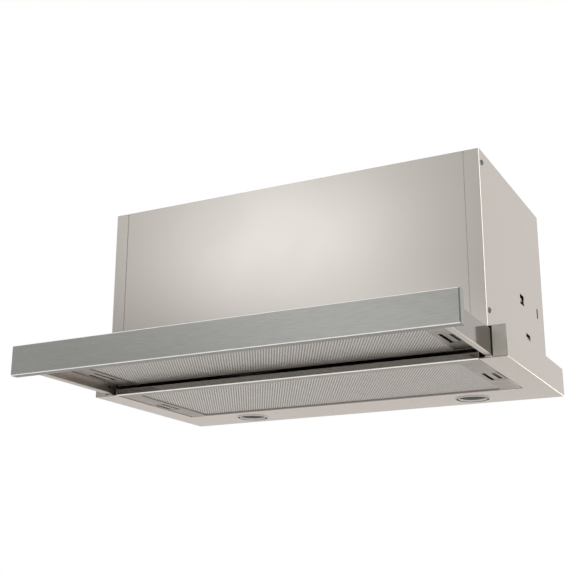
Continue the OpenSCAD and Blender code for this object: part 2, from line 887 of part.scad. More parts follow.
// Bezel with a flange under the base sheet, a tube through it and a ledge for the lens
module right_lamp_bezel() {
    tube_r = lens_r + plastic_t;
    color("#dcd9d4") in_frame() translate([lamp_x, lamp_y, 0]) difference() {
        union() {
            translate([0, 0, -bezel_drop]) cylinder(r1 = lamp_r - bezel_drop, r2 = lamp_r, h = bezel_drop);
            cylinder(r = tube_r, h = bezel_tube_h);
        }
        translate([0, 0, bezel_ledge_z + sheet_t]) cylinder(r = lens_r + press_gap, h = bezel_tube_h);
        translate([0, 0, -bezel_drop])
            cylinder(r1 = lens_r, r2 = lens_r - bezel_ledge_w, h = bezel_drop + bezel_ledge_z);
        translate([0, 0, -cut]) cylinder(r = lens_r - bezel_ledge_w, h = cut * 3);
    }
}

module left_lamp_bezel() {
    mirror([1, 0, 0]) right_lamp_bezel();
}

module right_lamp_lens() {
    color("#9e9e99") in_frame() translate([lamp_x, lamp_y, bezel_ledge_z + sheet_t])
        cylinder(r = lens_r, h = lens_t);
}

module left_lamp_lens() {
    mirror([1, 0, 0]) right_lamp_lens();
}

// Can over the lens that holds the light source and its heat sink ribs
module right_lamp_body() {
    tube_r = lens_r + plastic_t;
    color("#8f9193") in_frame() translate([lamp_x, lamp_y, 0]) difference() {
        translate([0, 0, bezel_tube_h]) cylinder(r = tube_r, h = lamp_h - bezel_tube_h);
        translate([0, 0, bezel_tube_h - cut])
            cylinder(r = tube_r - plastic_t, h = lamp_h - bezel_tube_h + cut - plastic_t * 3);
        for (share = lamp_rib_shares)
            bar([-tube_r, tube_r], [share * tube_r - plastic_t / 2, share * tube_r + plastic_t / 2],
                [lamp_h - plastic_t * 2, lamp_h + cut]);
    }
}

module left_lamp_body() {
    mirror([1, 0, 0]) right_lamp_body();
}

// Switch at the rear of the right runner, which the shut tray presses
module tray_switch() {
    color("#33353a") in_frame() difference() {
        bar([profile_out + profile_w / 2, cap_out - sheet_t], [switch_y, switch_y + switch_l],
            [switch_z, switch_z + switch_h]);
        translate([(profile_out + cap_out) / 2, switch_y - cut, base_h / 2])
            rotate([-90, 0, 0])
                cylinder(r = plunger_r + press_gap, h = cut + plunger_l + plunger_travel - plunger_reach);
    }
}

module switch_plunger() {
    color("#c8452f") in_frame()
        translate([(profile_out + cap_out) / 2, plunger_y, base_h / 2])
            rotate([-90, 0, 0]) cylinder(r = plunger_r, h = plunger_l);
}

// Ring of four walls between an outer and an inner rectangle
module ring(x, y, z, wall) {
    difference() {
        bar(x, y, z);
        bar([x[0] + wall, x[1] - wall], [y[0] + wall, y[1] - wall], [z[0] - cut, z[1] + cut]);
    }
}

// Folded frame of a filter cassette of a given depth, with its latches' windows and covers
module filter_frame(depth, latch_at) {
    difference() {
        union() {
            bar([-half_filter, half_filter], [0, depth], [0, sheet_t]);
            ring([-half_filter, half_filter], [0, depth], [0, filter_h], sheet_t);
            ring([-half_filter, half_filter], [0, depth], [filter_h - sheet_t, filter_h], filter_flange_w);
            ring([-half_mesh - sheet_t, half_mesh + sheet_t],
                 [front_border - sheet_t, depth - rear_border + sheet_t], [0, mesh_rise], sheet_t);
            both_sides()
                bar([latch_in - latch_travel - slide_gap, half_filter],
                    [latch_at - latch_l / 2 - wing_l * 2, latch_at + latch_l / 2 + wing_l * 2],
                    [latch_t + slide_gap, latch_t + slide_gap + latch_cover_t]);
        }
        bar([-half_mesh, half_mesh], [front_border, depth - rear_border], [-cut, mesh_rise]);
        along_x([-half_filter - cut, half_filter + cut]) {
            mirror([1, 1]) bend_off();
            translate([depth, 0]) mirror([0, 1]) bend_off();
        }
        both_sides() {
            along_y([-cut, depth + cut]) translate([half_filter, 0]) mirror([0, 1]) bend_off();
            bar([latch_in - latch_travel - slide_gap, half_filter - sheet_t],
                [latch_at - latch_l / 2 - latch_end_gap, latch_at + latch_l / 2 + latch_end_gap],
                [-cut, sheet_t + slide_gap]);
            bar([half_filter - sheet_t - slide_gap, half_filter + cut],
                [latch_at - tongue_w / 2 - slide_gap, latch_at + tongue_w / 2 + slide_gap],
                [tongue_z - slide_gap, latch_t + slide_gap]);
        }
    }
}

// Sheet with rows of diamond openings
module filter_mesh(depth, rows) {
    low = front_border - mesh_lap;
    high = depth - rear_border + sheet_t;
    pitch_x = half_mesh * 2 / mesh_columns;
    pitch_y = (depth - rear_border - front_border) / rows;
    translate([0, 0, mesh_rise]) linear_extrude(mesh_t) difference() {
        translate([-half_mesh - mesh_lap, low]) square([(half_mesh + mesh_lap) * 2, high - low]);
        for (column = [0:mesh_columns - 1])
            for (row = [0:rows - 1])
                translate([-half_mesh + (column + 0.5) * pitch_x, front_border + (row + 0.5) * pitch_y])
                    polygon([[-pitch_x / 2 + strand_w / 2, 0], [0, -pitch_y / 2 + strand_w / 2],
                             [pitch_x / 2 - strand_w / 2, 0], [0, pitch_y / 2 - strand_w / 2]]);
    }
}

// Zigzag of folded foil that catches the grease, between the mesh and the frame's flange
module filter_core(depth) {
    low = mesh_rise + mesh_t;
    high = filter_h - sheet_t;
    folds = floor((half_mesh - core_inset) * 2 / fold_pitch);
    pitch = (half_mesh - core_inset) * 2 / folds;
    zigzag = [for (i = [0:folds]) [-half_mesh + core_inset + i * pitch,
                                   i % 2 == 0 ? low : high - foil_t * 2]];
    back = [for (i = [folds:-1:0]) zigzag[i] + [0, foil_t * 2]];
    translate([0, depth - rear_border, 0]) rotate([90, 0, 0])
        linear_extrude(depth - rear_border - front_border) polygon(concat(zigzag, back));
}

// Sliding latch plate with side wings, a tongue and a recess for the fingertip
module filter_latch(latch_at) {
    difference() {
        union() {
            bar([latch_in, latch_out], [latch_at - latch_l / 2, latch_at + latch_l / 2], [0, latch_t]);
            bar([latch_in, latch_out], [latch_at - latch_l / 2 - wing_l, latch_at + latch_l / 2 + wing_l],
                [tongue_z, latch_t]);
            bar([latch_out, tongue_out], [latch_at - tongue_w / 2, latch_at + tongue_w / 2],
                [tongue_z, latch_t]);
        }
        bar([latch_out - recess_inset - recess_w, latch_out - recess_inset],
            [latch_at - recess_l / 2, latch_at + recess_l / 2], [-cut, recess_t]);
    }
}

module base_filter_frame() {
    color("#aaa59f") in_frame() translate([0, base_filter_y, 0])
        filter_frame(base_filter_d, base_latch_y - base_filter_y);
}

module base_filter_mesh() {
    color("#b9b4ae") in_frame() translate([0, base_filter_y, 0])
        filter_mesh(base_filter_d, base_mesh_rows);
}

module base_filter_core() {
    color("#c9c7c3") in_frame() translate([0, base_filter_y, 0]) filter_core(base_filter_d);
}

module right_base_latch() {
    color("#9b9791") in_frame() filter_latch(base_latch_y);
}

module left_base_latch() {
    mirror([1, 0, 0]) right_base_latch();
}

module tray_filter_frame() {
    color("#aaa59f") in_frame() translate([0, tray_filter_y, shelf_z])
        filter_frame(tray_filter_d, tray_latch_y);
}

module tray_filter_mesh() {
    color("#b9b4ae") in_frame() translate([0, tray_filter_y, shelf_z])
        filter_mesh(tray_filter_d, tray_mesh_rows);
}

module tray_filter_core() {
    color("#c9c7c3") in_frame() translate([0, tray_filter_y, shelf_z]) filter_core(tray_filter_d);
}

module right_tray_latch() {
    color("#9b9791") in_frame() translate([0, tray_filter_y, shelf_z]) filter_latch(tray_latch_y);
}

module left_tray_latch() {
    mirror([1, 0, 0]) right_tray_latch();
}

// Box-section side of the tray, with the shelf that carries the filter's end and a drain slot
module tray_right_profile() {
    color("#b9b2ab") in_frame() {
        difference() {
            bar([profile_in, profile_out], [panel_back, profile_end], [tray_z, profile_top]);
            bar([profile_in + sheet_t, profile_out - sheet_t], [panel_back - cut, profile_end + cut],
                [tray_z + sheet_t, profile_top - sheet_t]);
            along_y([panel_back - cut, profile_end + cut]) {
                translate([profile_out, profile_top]) bend_off();
                translate([profile_out, tray_z]) mirror([0, 1]) bend_off();
                translate([profile_in, tray_z]) mirror([1, 1]) bend_off();
            }
            along_x([profile_in - cut, profile_in + sheet_t + slide_gap])
                translate([-drain_ahead, shelf_z - drain_r * 2]) drain_outline();
        }
        bar([half_open, profile_in], [panel_back + strip_d, rear_rail_y], [shelf_z, shelf_z + sheet_t]);
    }
}

// Slot with round ends, about its middle
module drain_outline() {
    square([drain_l - drain_r * 2, drain_r * 2], center = true);
    for (side = [-1, 1])
        translate([side * (drain_l / 2 - drain_r), 0]) circle(r = drain_r);
}

module tray_left_profile() {
    mirror([1, 0, 0]) tray_right_profile();
}

// Folded rail behind the front panel, with the strip that holds the controls
module tray_front_rail() {
    top = profile_top - sheet_t;
    color("#aca59e") in_frame() difference() {
        union() {
            bar([-profile_in, profile_in], [panel_back, panel_back + sheet_t], [shelf_z, top]);
            bar([-profile_in, profile_in], [panel_back, panel_back + strip_d],
                [shelf_z, shelf_z + sheet_t]);
            bar([-profile_in, profile_in], [panel_back + strip_d - sheet_t, panel_back + strip_d],
                [shelf_z, shelf_z + filter_h]);
        }
        bar([control_x - control_w / 2 + plastic_t * 2, control_x + control_w / 2 - plastic_t * 2],
            [control_y + plastic_t * 2, control_y + control_d - plastic_t * 2],
            [shelf_z - cut, shelf_z + cut]);
        panel_screw_places() screw_hole(cut);
    }
}

// Rail that carries the rear edge of the tray filter
module tray_rear_rail() {
    color("#aca59e") in_frame() difference() {
        bar([-profile_in, profile_in], [rear_rail_y, tray_stay], [shelf_z, shelf_z + rear_rail_h]);
        bar([-profile_in - cut, profile_in + cut], [rear_rail_y + sheet_t, tray_stay + cut],
            [shelf_z + sheet_t, shelf_z + rear_rail_h - sheet_t]);
    }
}

// Sheet that closes the top of the tray
module tray_top_sheet() {
    color("#b9b2ab") in_frame()
        bar([-profile_in, profile_in], [panel_back, tray_stay], [profile_top - sheet_t, profile_top]);
}

// Folded pan of brushed sheet that the user pulls
module front_panel() {
    half = half_base + panel_side_lap;
    front = panel_back - panel_t;
    color("#a3a29d") in_frame() difference() {
        bar([-half, half], [front, panel_back], [-panel_drop, panel_high]);
        bar([-half + sheet_t, half - sheet_t], [front + sheet_t, panel_back - sheet_t],
            [-panel_drop + sheet_t, panel_high - sheet_t]);
        bar([-half + panel_lip, half - panel_lip], [panel_back - panel_t / 2, panel_back + cut],
            [-panel_drop + panel_lip, panel_high - panel_lip]);
        along_x([-half - cut, half + cut]) {
            translate([front, -panel_drop]) mirror([1, 1]) bend_off();
            translate([front, panel_high]) mirror([1, 0]) bend_off();
            translate([panel_back, -panel_drop]) mirror([0, 1]) bend_off();
            translate([panel_back, panel_high]) bend_off();
        }
        both_sides()
            translate([half, front, -panel_drop - cut])
                linear_extrude(panel_high + panel_drop + cut * 2) mirror([0, 1]) bend_off();
        panel_screw_places() screw_hole(cut * 2);
    }
}

// Places of the screws from inside the tray into the panel's upper lip
module panel_screw_places() {
    for (share = panel_screw_shares)
        translate([share * profile_in, panel_back + sheet_t, panel_high - panel_lip / 2 - sheet_t])
            rotate([-90, 0, 0]) children();
}

module panel_screws() {
    color("#8c8c8a") in_frame() panel_screw_places() screw(screw_l);
}

// Plastic shoe on the profile's rear end, with a narrow neck between the channel's lips
module right_slide_shoe() {
    low = channel_z + sheet_t + slide_gap;
    high = channel_z + channel_h - sheet_t - slide_gap;
    neck_low = channel_z + channel_lip + slide_gap;
    neck_high = channel_z + channel_h - channel_lip - slide_gap;
    shoe_y = [profile_end - shoe_l, profile_end];
    color("#e2dfd8") in_frame() {
        bar([profile_out, channel_in + sheet_t + slide_gap], shoe_y, [neck_low, neck_high]);
        bar([channel_in + sheet_t + slide_gap, cap_out - sheet_t - slide_gap], shoe_y, [low, high]);
    }
}

module left_slide_shoe() {
    mirror([1, 0, 0]) right_slide_shoe();
}

// Switch body over the strip and its face plate under it, with a slot for each slider
module control_unit() {
    color("#2d2e30") in_frame() difference() {
        union() {
            bar([control_x - control_w / 2, control_x + control_w / 2],
                [control_y, control_y + control_d], [shelf_z - control_lip, shelf_z]);
            bar([control_x - control_w / 2 + plastic_t * 2 + slide_gap,
                 control_x + control_w / 2 - plastic_t * 2 - slide_gap],
                [control_y + plastic_t * 2 + slide_gap, control_y + control_d - plastic_t * 2 - slide_gap],
                [shelf_z - control_lip / 2, shelf_z + control_h]);
        }
        slider_slot(-1, speed_travel);
        slider_slot(1, light_travel);
    }
}

// Slot that a slider's stem runs in; the speed slider is the front one
module slider_slot(side, reach) {
    middle = control_y + control_d / 2 + side * slider_pitch / 2;
    bar([control_x - stem_w / 2 - slide_gap - reach / 2, control_x + stem_w / 2 + slide_gap + reach / 2],
        [middle - stem_w / 2 - slide_gap, middle + stem_w / 2 + slide_gap],
        [shelf_z - cut, shelf_z + control_h / 2 + slide_gap]);
}

// Knob and stem of a slider, drawn at the start of its travel
module slider(side, reach) {
    middle = control_y + control_d / 2 + side * slider_pitch / 2;
    start = control_x - reach / 2;
    face = shelf_z - control_lip - slide_gap;
    color("#8e8f91") in_frame() {
        bar([start - knob_w / 2, start + knob_w / 2], [middle - knob_d / 2, middle + knob_d / 2],
            [face - knob_h, face]);
        bar([start - stem_w / 2, start + stem_w / 2], [middle - stem_w / 2, middle + stem_w / 2],
            [face, shelf_z + control_h / 2]);
    }
}

module speed_slider() {
    slider(-1, speed_travel);
}

module light_slider() {
    slider(1, light_travel);
}

base_housing();
front_crossbar();
left_end_cap();
right_end_cap();
left_runner_channel();
right_runner_channel();
glide_pads();
front_cover();
left_side_panel();
right_side_panel();
back_panel();
top_panel();
side_screws();
foot_screws();
duct_collar();
damper_pins();
front_damper_flap();
rear_damper_flap();
collar_screws();
left_scroll_half();
right_scroll_half();
fan_motor();
motor_bracket();
bracket_screws();
motor_shaft();
fan_wheel();
run_capacitor();
junction_box();
junction_lid();
cable_gland();
left_lamp_bezel();
right_lamp_bezel();
left_lamp_lens();
right_lamp_lens();
left_lamp_body();
right_lamp_body();
tray_switch();
switch_plunger();
base_filter_frame();
base_filter_mesh();
base_filter_core();
left_base_latch();
right_base_latch();
tray_left_profile();
tray_right_profile();
tray_front_rail();
tray_rear_rail();
tray_top_sheet();
front_panel();
panel_screws();
left_slide_shoe();
right_slide_shoe();
tray_filter_frame();
tray_filter_mesh();
tray_filter_core();
left_tray_latch();
right_tray_latch();
control_unit();
speed_slider();
light_slider();
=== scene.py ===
# %% [markdown]
# This is a slide-out kitchen hood, dressed for its portrait. The steel work, the fan and the
# runners come in as a finished frame at real size, in metres. Here each sheet that shows gets
# its folded and eased edges, the grease filters get their fine mesh, and every surface gets
# the finish that it has on the real hood. The first cell loads the frame and keeps its box,
# because nothing made later may stand outside it.

# %% Load the frame
import json
import math

import bmesh
import bpy
from mathutils import Matrix, Vector

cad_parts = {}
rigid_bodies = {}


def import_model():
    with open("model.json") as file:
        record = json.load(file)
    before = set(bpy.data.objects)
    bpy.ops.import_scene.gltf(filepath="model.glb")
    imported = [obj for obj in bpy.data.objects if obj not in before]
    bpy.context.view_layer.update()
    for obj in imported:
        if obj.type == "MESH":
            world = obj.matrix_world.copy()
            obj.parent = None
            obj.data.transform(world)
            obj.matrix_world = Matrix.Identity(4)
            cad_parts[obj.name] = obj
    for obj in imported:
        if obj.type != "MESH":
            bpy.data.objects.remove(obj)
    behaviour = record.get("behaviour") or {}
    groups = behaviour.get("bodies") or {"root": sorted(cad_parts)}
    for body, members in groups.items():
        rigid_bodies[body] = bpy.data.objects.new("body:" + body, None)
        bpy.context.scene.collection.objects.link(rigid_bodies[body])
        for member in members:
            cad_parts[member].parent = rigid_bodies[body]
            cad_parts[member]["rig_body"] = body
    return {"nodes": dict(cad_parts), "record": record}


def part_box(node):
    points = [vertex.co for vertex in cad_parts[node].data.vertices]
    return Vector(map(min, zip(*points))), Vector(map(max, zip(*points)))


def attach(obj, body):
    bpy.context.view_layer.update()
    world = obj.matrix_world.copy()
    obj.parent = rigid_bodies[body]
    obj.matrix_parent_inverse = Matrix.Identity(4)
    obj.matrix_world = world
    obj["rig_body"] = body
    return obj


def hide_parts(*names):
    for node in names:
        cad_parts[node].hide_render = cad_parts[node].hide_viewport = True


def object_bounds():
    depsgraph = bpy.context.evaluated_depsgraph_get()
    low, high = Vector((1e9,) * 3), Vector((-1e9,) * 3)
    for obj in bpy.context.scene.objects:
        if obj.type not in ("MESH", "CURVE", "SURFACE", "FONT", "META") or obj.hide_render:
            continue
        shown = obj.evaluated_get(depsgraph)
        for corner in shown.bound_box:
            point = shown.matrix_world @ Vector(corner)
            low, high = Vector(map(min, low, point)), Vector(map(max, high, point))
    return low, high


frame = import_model()
cad_box = [list(corner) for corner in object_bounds()]
nodes = frame["nodes"]
print("pieces in the frame:", len(nodes))

# %% [markdown]
# The camera stands low in front of the hood's right corner and looks up at it. It could be
# turned by eye until the picture looks right, but the edges of so plain a box show every
# degree. So its place was solved from the hood's own corners, and is written as a position and
# three directions. The lens is given as a focal length in pixels for a square picture, and
# turned into millimetres on Blender's usual 36 mm sensor.

# %% Camera
PICTURE_SIZE = 575
FOCAL_PIXELS = 1072.571
CAMERA_PLACE = Vector((0.627005, -1.399112, -0.553474))
CAMERA_RIGHT = Vector((0.89090102, 0.45419062, 0.00250099))
CAMERA_UP = Vector((0.12749725, -0.25536499, 0.95840136))
CAMERA_AHEAD = Vector((-0.43593557, 0.85352188, 0.28541298))


def place_camera():
    camera = bpy.data.objects.new("camera", bpy.data.cameras.new("camera"))
    bpy.context.scene.collection.objects.link(camera)
    camera.data.sensor_width = 36.0
    camera.data.lens = camera.data.sensor_width * FOCAL_PIXELS / PICTURE_SIZE
    turn = Matrix((CAMERA_RIGHT, CAMERA_UP, -CAMERA_AHEAD)).transposed().to_4x4()
    camera.matrix_world = Matrix.Translation(CAMERA_PLACE) @ turn
    camera.data.clip_start = 0.05
    camera.data.clip_end = 60
    bpy.context.scene.camera = camera
    return camera


camera = place_camera()
print("lens in millimetres:", round(camera.data.lens, 2))

# %% [markdown]
# Metal shows its surroundings, so the room matters as much as the paint. Many lamps could
# stand in for a bright room, but an even world does it with one colour. It is plain white to
# the camera and in mirrored and bent rays. The light that falls on the hood from it is a little
# lower, so that pale paint keeps its tone. Light Path tells the two apart.

# %% Room
ROOM_LIGHT = 0.9
ROOM_TINT = (1.0, 0.985, 0.965, 1)


def light_the_room(strength):
    world = bpy.data.worlds.new("pale room")
    bpy.context.scene.world = world
    world.use_nodes = True
    tree = world.node_tree
    tree.nodes.clear()
    seen = tree.nodes.new("ShaderNodeBackground")
    seen.inputs["Color"].default_value = (1, 1, 1, 1)
    seen.inputs["Strength"].default_value = 1.0
    felt = tree.nodes.new("ShaderNodeBackground")
    felt.inputs["Color"].default_value = ROOM_TINT
    felt.inputs["Strength"].default_value = strength
    path = tree.nodes.new("ShaderNodeLightPath")
    seen_or_mirrored = tree.nodes.new("ShaderNodeMath")
    seen_or_mirrored.operation = "MAXIMUM"
    or_bent = tree.nodes.new("ShaderNodeMath")
    or_bent.operation = "MAXIMUM"
    mix = tree.nodes.new("ShaderNodeMixShader")
    out = tree.nodes.new("ShaderNodeOutputWorld")
    tree.links.new(path.outputs["Is Camera Ray"], seen_or_mirrored.inputs[0])
    tree.links.new(path.outputs["Is Glossy Ray"], seen_or_mirrored.inputs[1])
    tree.links.new(seen_or_mirrored.outputs[0], or_bent.inputs[0])
    tree.links.new(path.outputs["Is Transmission Ray"], or_bent.inputs[1])
    tree.links.new(or_bent.outputs[0], mix.inputs["Fac"])
    tree.links.new(felt.outputs[0], mix.inputs[1])
    tree.links.new(seen.outputs[0], mix.inputs[2])
    tree.links.new(mix.outputs[0], out.inputs["Surface"])
    return world


world = light_the_room(ROOM_LIGHT)
bpy.context.scene.view_settings.view_transform = "Standard"
print("world:", world.name, "of strength", ROOM_LIGHT)

# %% [markdown]
# The hood hangs on a cabinet, so the floor lies far below it, pale and matt. It bounces light
# onto the underside, and it keeps the hood's soft shadow in the views from above.

# %% Floor
FLOOR_DROP = 2.4
FLOOR_SIZE = 30.0
FLOOR_COLOUR = (0.95, 0.948, 0.945, 1)
FLOOR_ROUGHNESS = 0.8


def lay_sheet(name, size_x, size_y, turn, place, material):
    bm = bmesh.new()
    bmesh.ops.create_grid(bm, x_segments=1, y_segments=1, size=0.5)
    bmesh.ops.scale(bm, verts=bm.verts, vec=(size_x, size_y, 1))
    bmesh.ops.rotate(bm, verts=bm.verts, matrix=turn)
    bmesh.ops.translate(bm, verts=bm.verts, vec=place)
    mesh = bpy.data.meshes.new(name)
    bm.to_mesh(mesh)
    bm.free()
    sheet = bpy.data.objects.new(name, mesh)
    bpy.context.scene.collection.objects.link(sheet)
    mesh.materials.append(material)
    return sheet


floor_paint = bpy.data.materials.new("pale_floor")
floor_paint.use_nodes = True
floor_shader = floor_paint.node_tree.nodes["Principled BSDF"]
floor_shader.inputs["Base Color"].default_value = FLOOR_COLOUR
floor_shader.inputs["Roughness"].default_value = FLOOR_ROUGHNESS
floor_height = cad_box[0][2] - FLOOR_DROP
floor = lay_sheet("floor", FLOOR_SIZE, FLOOR_SIZE, Matrix.Identity(3), (0, 0, floor_height),
                  floor_paint)
print(floor.name, "height:", round(floor_height, 3))

# %% [markdown]
# The broad glow in the middle of the fan box's front is the studio's light, mirrored by glossy
# paint. A lamp alone would leave the rest of that face as bright as the white room, so a large
# dim screen stands where the face looks, up and ahead to the left. The glow on it is round, and
# a little cooler than the room. The screen's brightness rises smoothly to the room's own white
# at the rim, so that no edge of it shows. A second, lower glow brightens the right half of the
# front panel, and a darker hollow keeps its left half low. Real studio screens stand behind the
# camera, and this one stays out of its view too.

# %% Screen with a glow
SCREEN_PLACE = (-1.75, -3.0, 0.75)
SCREEN_WIDTH = 7.0
SCREEN_HEIGHT = 3.6
SCREEN_DIM = 0.32
DIM_PLACE = (-1.35, -3.0, 0.62)
DIM_SPREAD = (1.9, 1.0, 1.05)
GLOW_PLACE = (-1.47, -3.0, 0.98)
GLOW_SPREAD = (0.66, 1.0, 0.40)
GLOW_LIGHT = 1.76
GLOW_TINT = (0.96, 0.995, 1.03)
LOW_GLOW_PLACE = (-0.84, -3.0, 0.31)
LOW_GLOW_SPREAD = (0.36, 1.0, 0.18)
LOW_GLOW_LIGHT = 2.2
HOLLOW_PLACE = (-2.1, -3.0, 0.40)
HOLLOW_SPREAD = (0.60, 1.0, 0.30)
HOLLOW_DIM = 0.24


def bell(tree, place, spread):
    """A smooth hump, 1 at its middle, from the squared distance in spreads."""
    coords = tree.nodes.new("ShaderNodeTexCoord")
    from_middle = tree.nodes.new("ShaderNodeVectorMath")
    from_middle.operation = "SUBTRACT"
    from_middle.inputs[1].default_value = place
    in_spreads = tree.nodes.new("ShaderNodeVectorMath")
    in_spreads.operation = "DIVIDE"
    in_spreads.inputs[1].default_value = spread
    square = tree.nodes.new("ShaderNodeVectorMath")
    square.operation = "DOT_PRODUCT"
    fall = tree.nodes.new("ShaderNodeMath")
    fall.operation = "MULTIPLY"
    fall.inputs[1].default_value = -1.0
    hump = tree.nodes.new("ShaderNodeMath")
    hump.operation = "EXPONENT"
    tree.links.new(coords.outputs["Object"], from_middle.inputs[0])
    tree.links.new(from_middle.outputs[0], in_spreads.inputs[0])
    tree.links.new(in_spreads.outputs[0], square.inputs[0])
    tree.links.new(in_spreads.outputs[0], square.inputs[1])
    tree.links.new(square.outputs["Value"], fall.inputs[0])
    tree.links.new(fall.outputs[0], hump.inputs[0])
    return hump.outputs[0]


def sum_of(tree, first, second, factor):
    """first + second * factor"""
    node = tree.nodes.new("ShaderNodeMath")
    node.operation = "MULTIPLY_ADD"
    tree.links.new(second, node.inputs[0])
    node.inputs[1].default_value = factor
    if isinstance(first, (int, float)):
        node.inputs[2].default_value = first
    else:
        tree.links.new(first, node.inputs[2])
    return node.outputs[0]


def make_screen():
    material = bpy.data.materials.new("dim_screen")
    material.use_nodes = True
    tree = material.node_tree
    tree.nodes.clear()
    dimmed = bell(tree, DIM_PLACE, DIM_SPREAD)
    glow = bell(tree, GLOW_PLACE, GLOW_SPREAD)
    low_glow = bell(tree, LOW_GLOW_PLACE, LOW_GLOW_SPREAD)
    hollow = bell(tree, HOLLOW_PLACE, HOLLOW_SPREAD)
    strength = 1.0
    for hump, change in ((dimmed, SCREEN_DIM - 1.0), (glow, GLOW_LIGHT),
                         (low_glow, LOW_GLOW_LIGHT), (hollow, -HOLLOW_DIM)):
        strength = sum_of(tree, strength, hump, change)
    light = tree.nodes.new("ShaderNodeEmission")
    tint = tree.nodes.new("ShaderNodeMix")
    tint.data_type = "RGBA"
    tint.inputs["A"].default_value = (1, 1, 1, 1)
    tint.inputs["B"].default_value = (*GLOW_TINT, 1)
    tree.links.new(glow, tint.inputs["Factor"])
    tree.links.new(tint.outputs["Result"], light.inputs["Color"])
    out = tree.nodes.new("ShaderNodeOutputMaterial")
    tree.links.new(strength, light.inputs["Strength"])
    tree.links.new(light.outputs[0], out.inputs["Surface"])
    upright = Matrix.Rotation(math.radians(90), 3, "X")
    screen = lay_sheet("screen", SCREEN_WIDTH, SCREEN_HEIGHT, upright, SCREEN_PLACE, material)
    screen.visible_camera = False
    return screen


screen = make_screen()
print(screen.name, "size in metres:", SCREEN_WIDTH, SCREEN_HEIGHT)

# %% [markdown]
# Crisp bright lines run along the bends of the real hood: down its right front corner, along
# the bottom of the front panel and along the base. A bend turns through many directions, so it
# mirrors lamps that no flat sheet faces. Two soft lamps stand just there: one to the right and
# one low behind. Both are hidden from the camera, and they are weak enough to leave the flat
# sheets at their own tone.

# %% Studio lamps
HOOD_MIDDLE = (0.0, 0.0, -0.15)
LAMP_TINT = (1.0, 0.99, 0.975)


def soft_lamp(name, place, size, power):
    light = bpy.data.lights.new(name, "AREA")
    light.shape = "SQUARE"
    light.size = size
    light.energy = power
    light.color = LAMP_TINT
    lamp = bpy.data.objects.new(name, light)
    bpy.context.scene.collection.objects.link(lamp)
    lamp.location = place
    lamp.rotation_mode = "QUATERNION"
    lamp.rotation_quaternion = (Vector(HOOD_MIDDLE) - Vector(place)).to_track_quat("-Z", "Y")
    lamp.visible_camera = False
    return lamp


right_lamp = soft_lamp("right lamp", (2.6, -1.5, 0.9), 1.8, 26)
rear_lamp = soft_lamp("rear lamp", (0.75, 2.6, -0.75), 0.7, 4.5)
print("lamps:", right_lamp.name, rear_lamp.name)

# %% [markdown]
# Pictures of metal could be wrapped round the pieces, but they stretch and show seams. Here
# every finish is a set of nodes read from Object coordinates, in metres, so its grain keeps its
# real size on every piece. These small helpers keep the recipes short: one stretches the
# coordinates, one makes a noise, one turns a noise into a range of numbers, two use such a
# range for the colour and the roughness, and one turns a noise into a fine relief. Anything
# that is the same all over stays on the shader's socket.

# %% Helpers for finishes
def start_finish(name, colour, metallic, roughness, **sockets):
    material = bpy.data.materials.new(name)
    material.use_nodes = True
    tree = material.node_tree
    shader = tree.nodes["Principled BSDF"]
    shader.inputs["Base Color"].default_value = (*colour, 1)
    shader.inputs["Metallic"].default_value = metallic
    shader.inputs["Roughness"].default_value = roughness
    for socket, value in sockets.items():
        shader.inputs[socket.replace("_", " ")].default_value = value
    return material, tree, shader


def stretched(tree, scale):
    """Object coordinates times a scale, one number or three."""
    size = scale if isinstance(scale, tuple) else (scale, scale, scale)
    coords = tree.nodes.new("ShaderNodeTexCoord")
    mapping = tree.nodes.new("ShaderNodeMapping")
    mapping.inputs["Scale"].default_value = size
    tree.links.new(coords.outputs["Object"], mapping.inputs["Vector"])
    return mapping.outputs["Vector"]


def noise(tree, scale, detail=2.0):
    texture = tree.nodes.new("ShaderNodeTexNoise")
    texture.inputs["Scale"].default_value = 1.0
    texture.inputs["Detail"].default_value = detail
    tree.links.new(stretched(tree, scale), texture.inputs["Vector"])
    return texture.outputs["Fac"]


def ranged(tree, value, low, high):
    """Turns the middle of a noise, 0.3 to 0.7, into low to high."""
    node = tree.nodes.new("ShaderNodeMapRange")
    node.inputs["From Min"].default_value = 0.3
    node.inputs["From Max"].default_value = 0.7
    node.inputs["To Min"].default_value = low
    node.inputs["To Max"].default_value = high
    node.interpolation_type = "SMOOTHSTEP"
    tree.links.new(value, node.inputs["Value"])
    return node.outputs["Result"]


def toned(tree, shader, colour, value, spread):
    """Varies a colour by a share of itself, darker and lighter, as a noise says."""
    mix = tree.nodes.new("ShaderNodeMix")
    mix.data_type = "RGBA"
    mix.inputs["A"].default_value = (*[c * (1 - spread) for c in colour], 1)
    mix.inputs["B"].default_value = (*[min(1, c * (1 + spread)) for c in colour], 1)
    tree.links.new(ranged(tree, value, 0.0, 1.0), mix.inputs["Factor"])
    tree.links.new(mix.outputs["Result"], shader.inputs["Base Color"])


def relief(tree, shader, value, strength, depth):
    bump = tree.nodes.new("ShaderNodeBump")
    bump.inputs["Strength"].default_value = strength
    bump.inputs["Distance"].default_value = depth
    tree.links.new(value, bump.inputs["Height"])
    tree.links.new(bump.outputs["Normal"], shader.inputs["Normal"])


def roughened(tree, shader, value, low, high):
    tree.links.new(ranged(tree, value, low, high), shader.inputs["Roughness"])


finishes = {}
print("helpers ready")

# %% [markdown]
# The hood's body is sheet steel with a glossy, warm silver paint. It mirrors large shapes
# softly, so it is nearly all metallic, with a low roughness. Real sprayed paint has tiny
# flakes, a slight waviness like the skin of an orange, and a sheen that wanders a little over
# a big sheet. Each of those is one noise here, and its scale counts the humps to a metre.

# %% Glossy silver paint
PAINT_METALLIC = 0.92
PAINT_RIM = (0.88, 0.85, 0.83, 1)
FLAKES = 2200.0
SHEEN_PATCHES = 7.0
ORANGE_PEEL = 420.0
PEEL_DEPTH = 0.0001


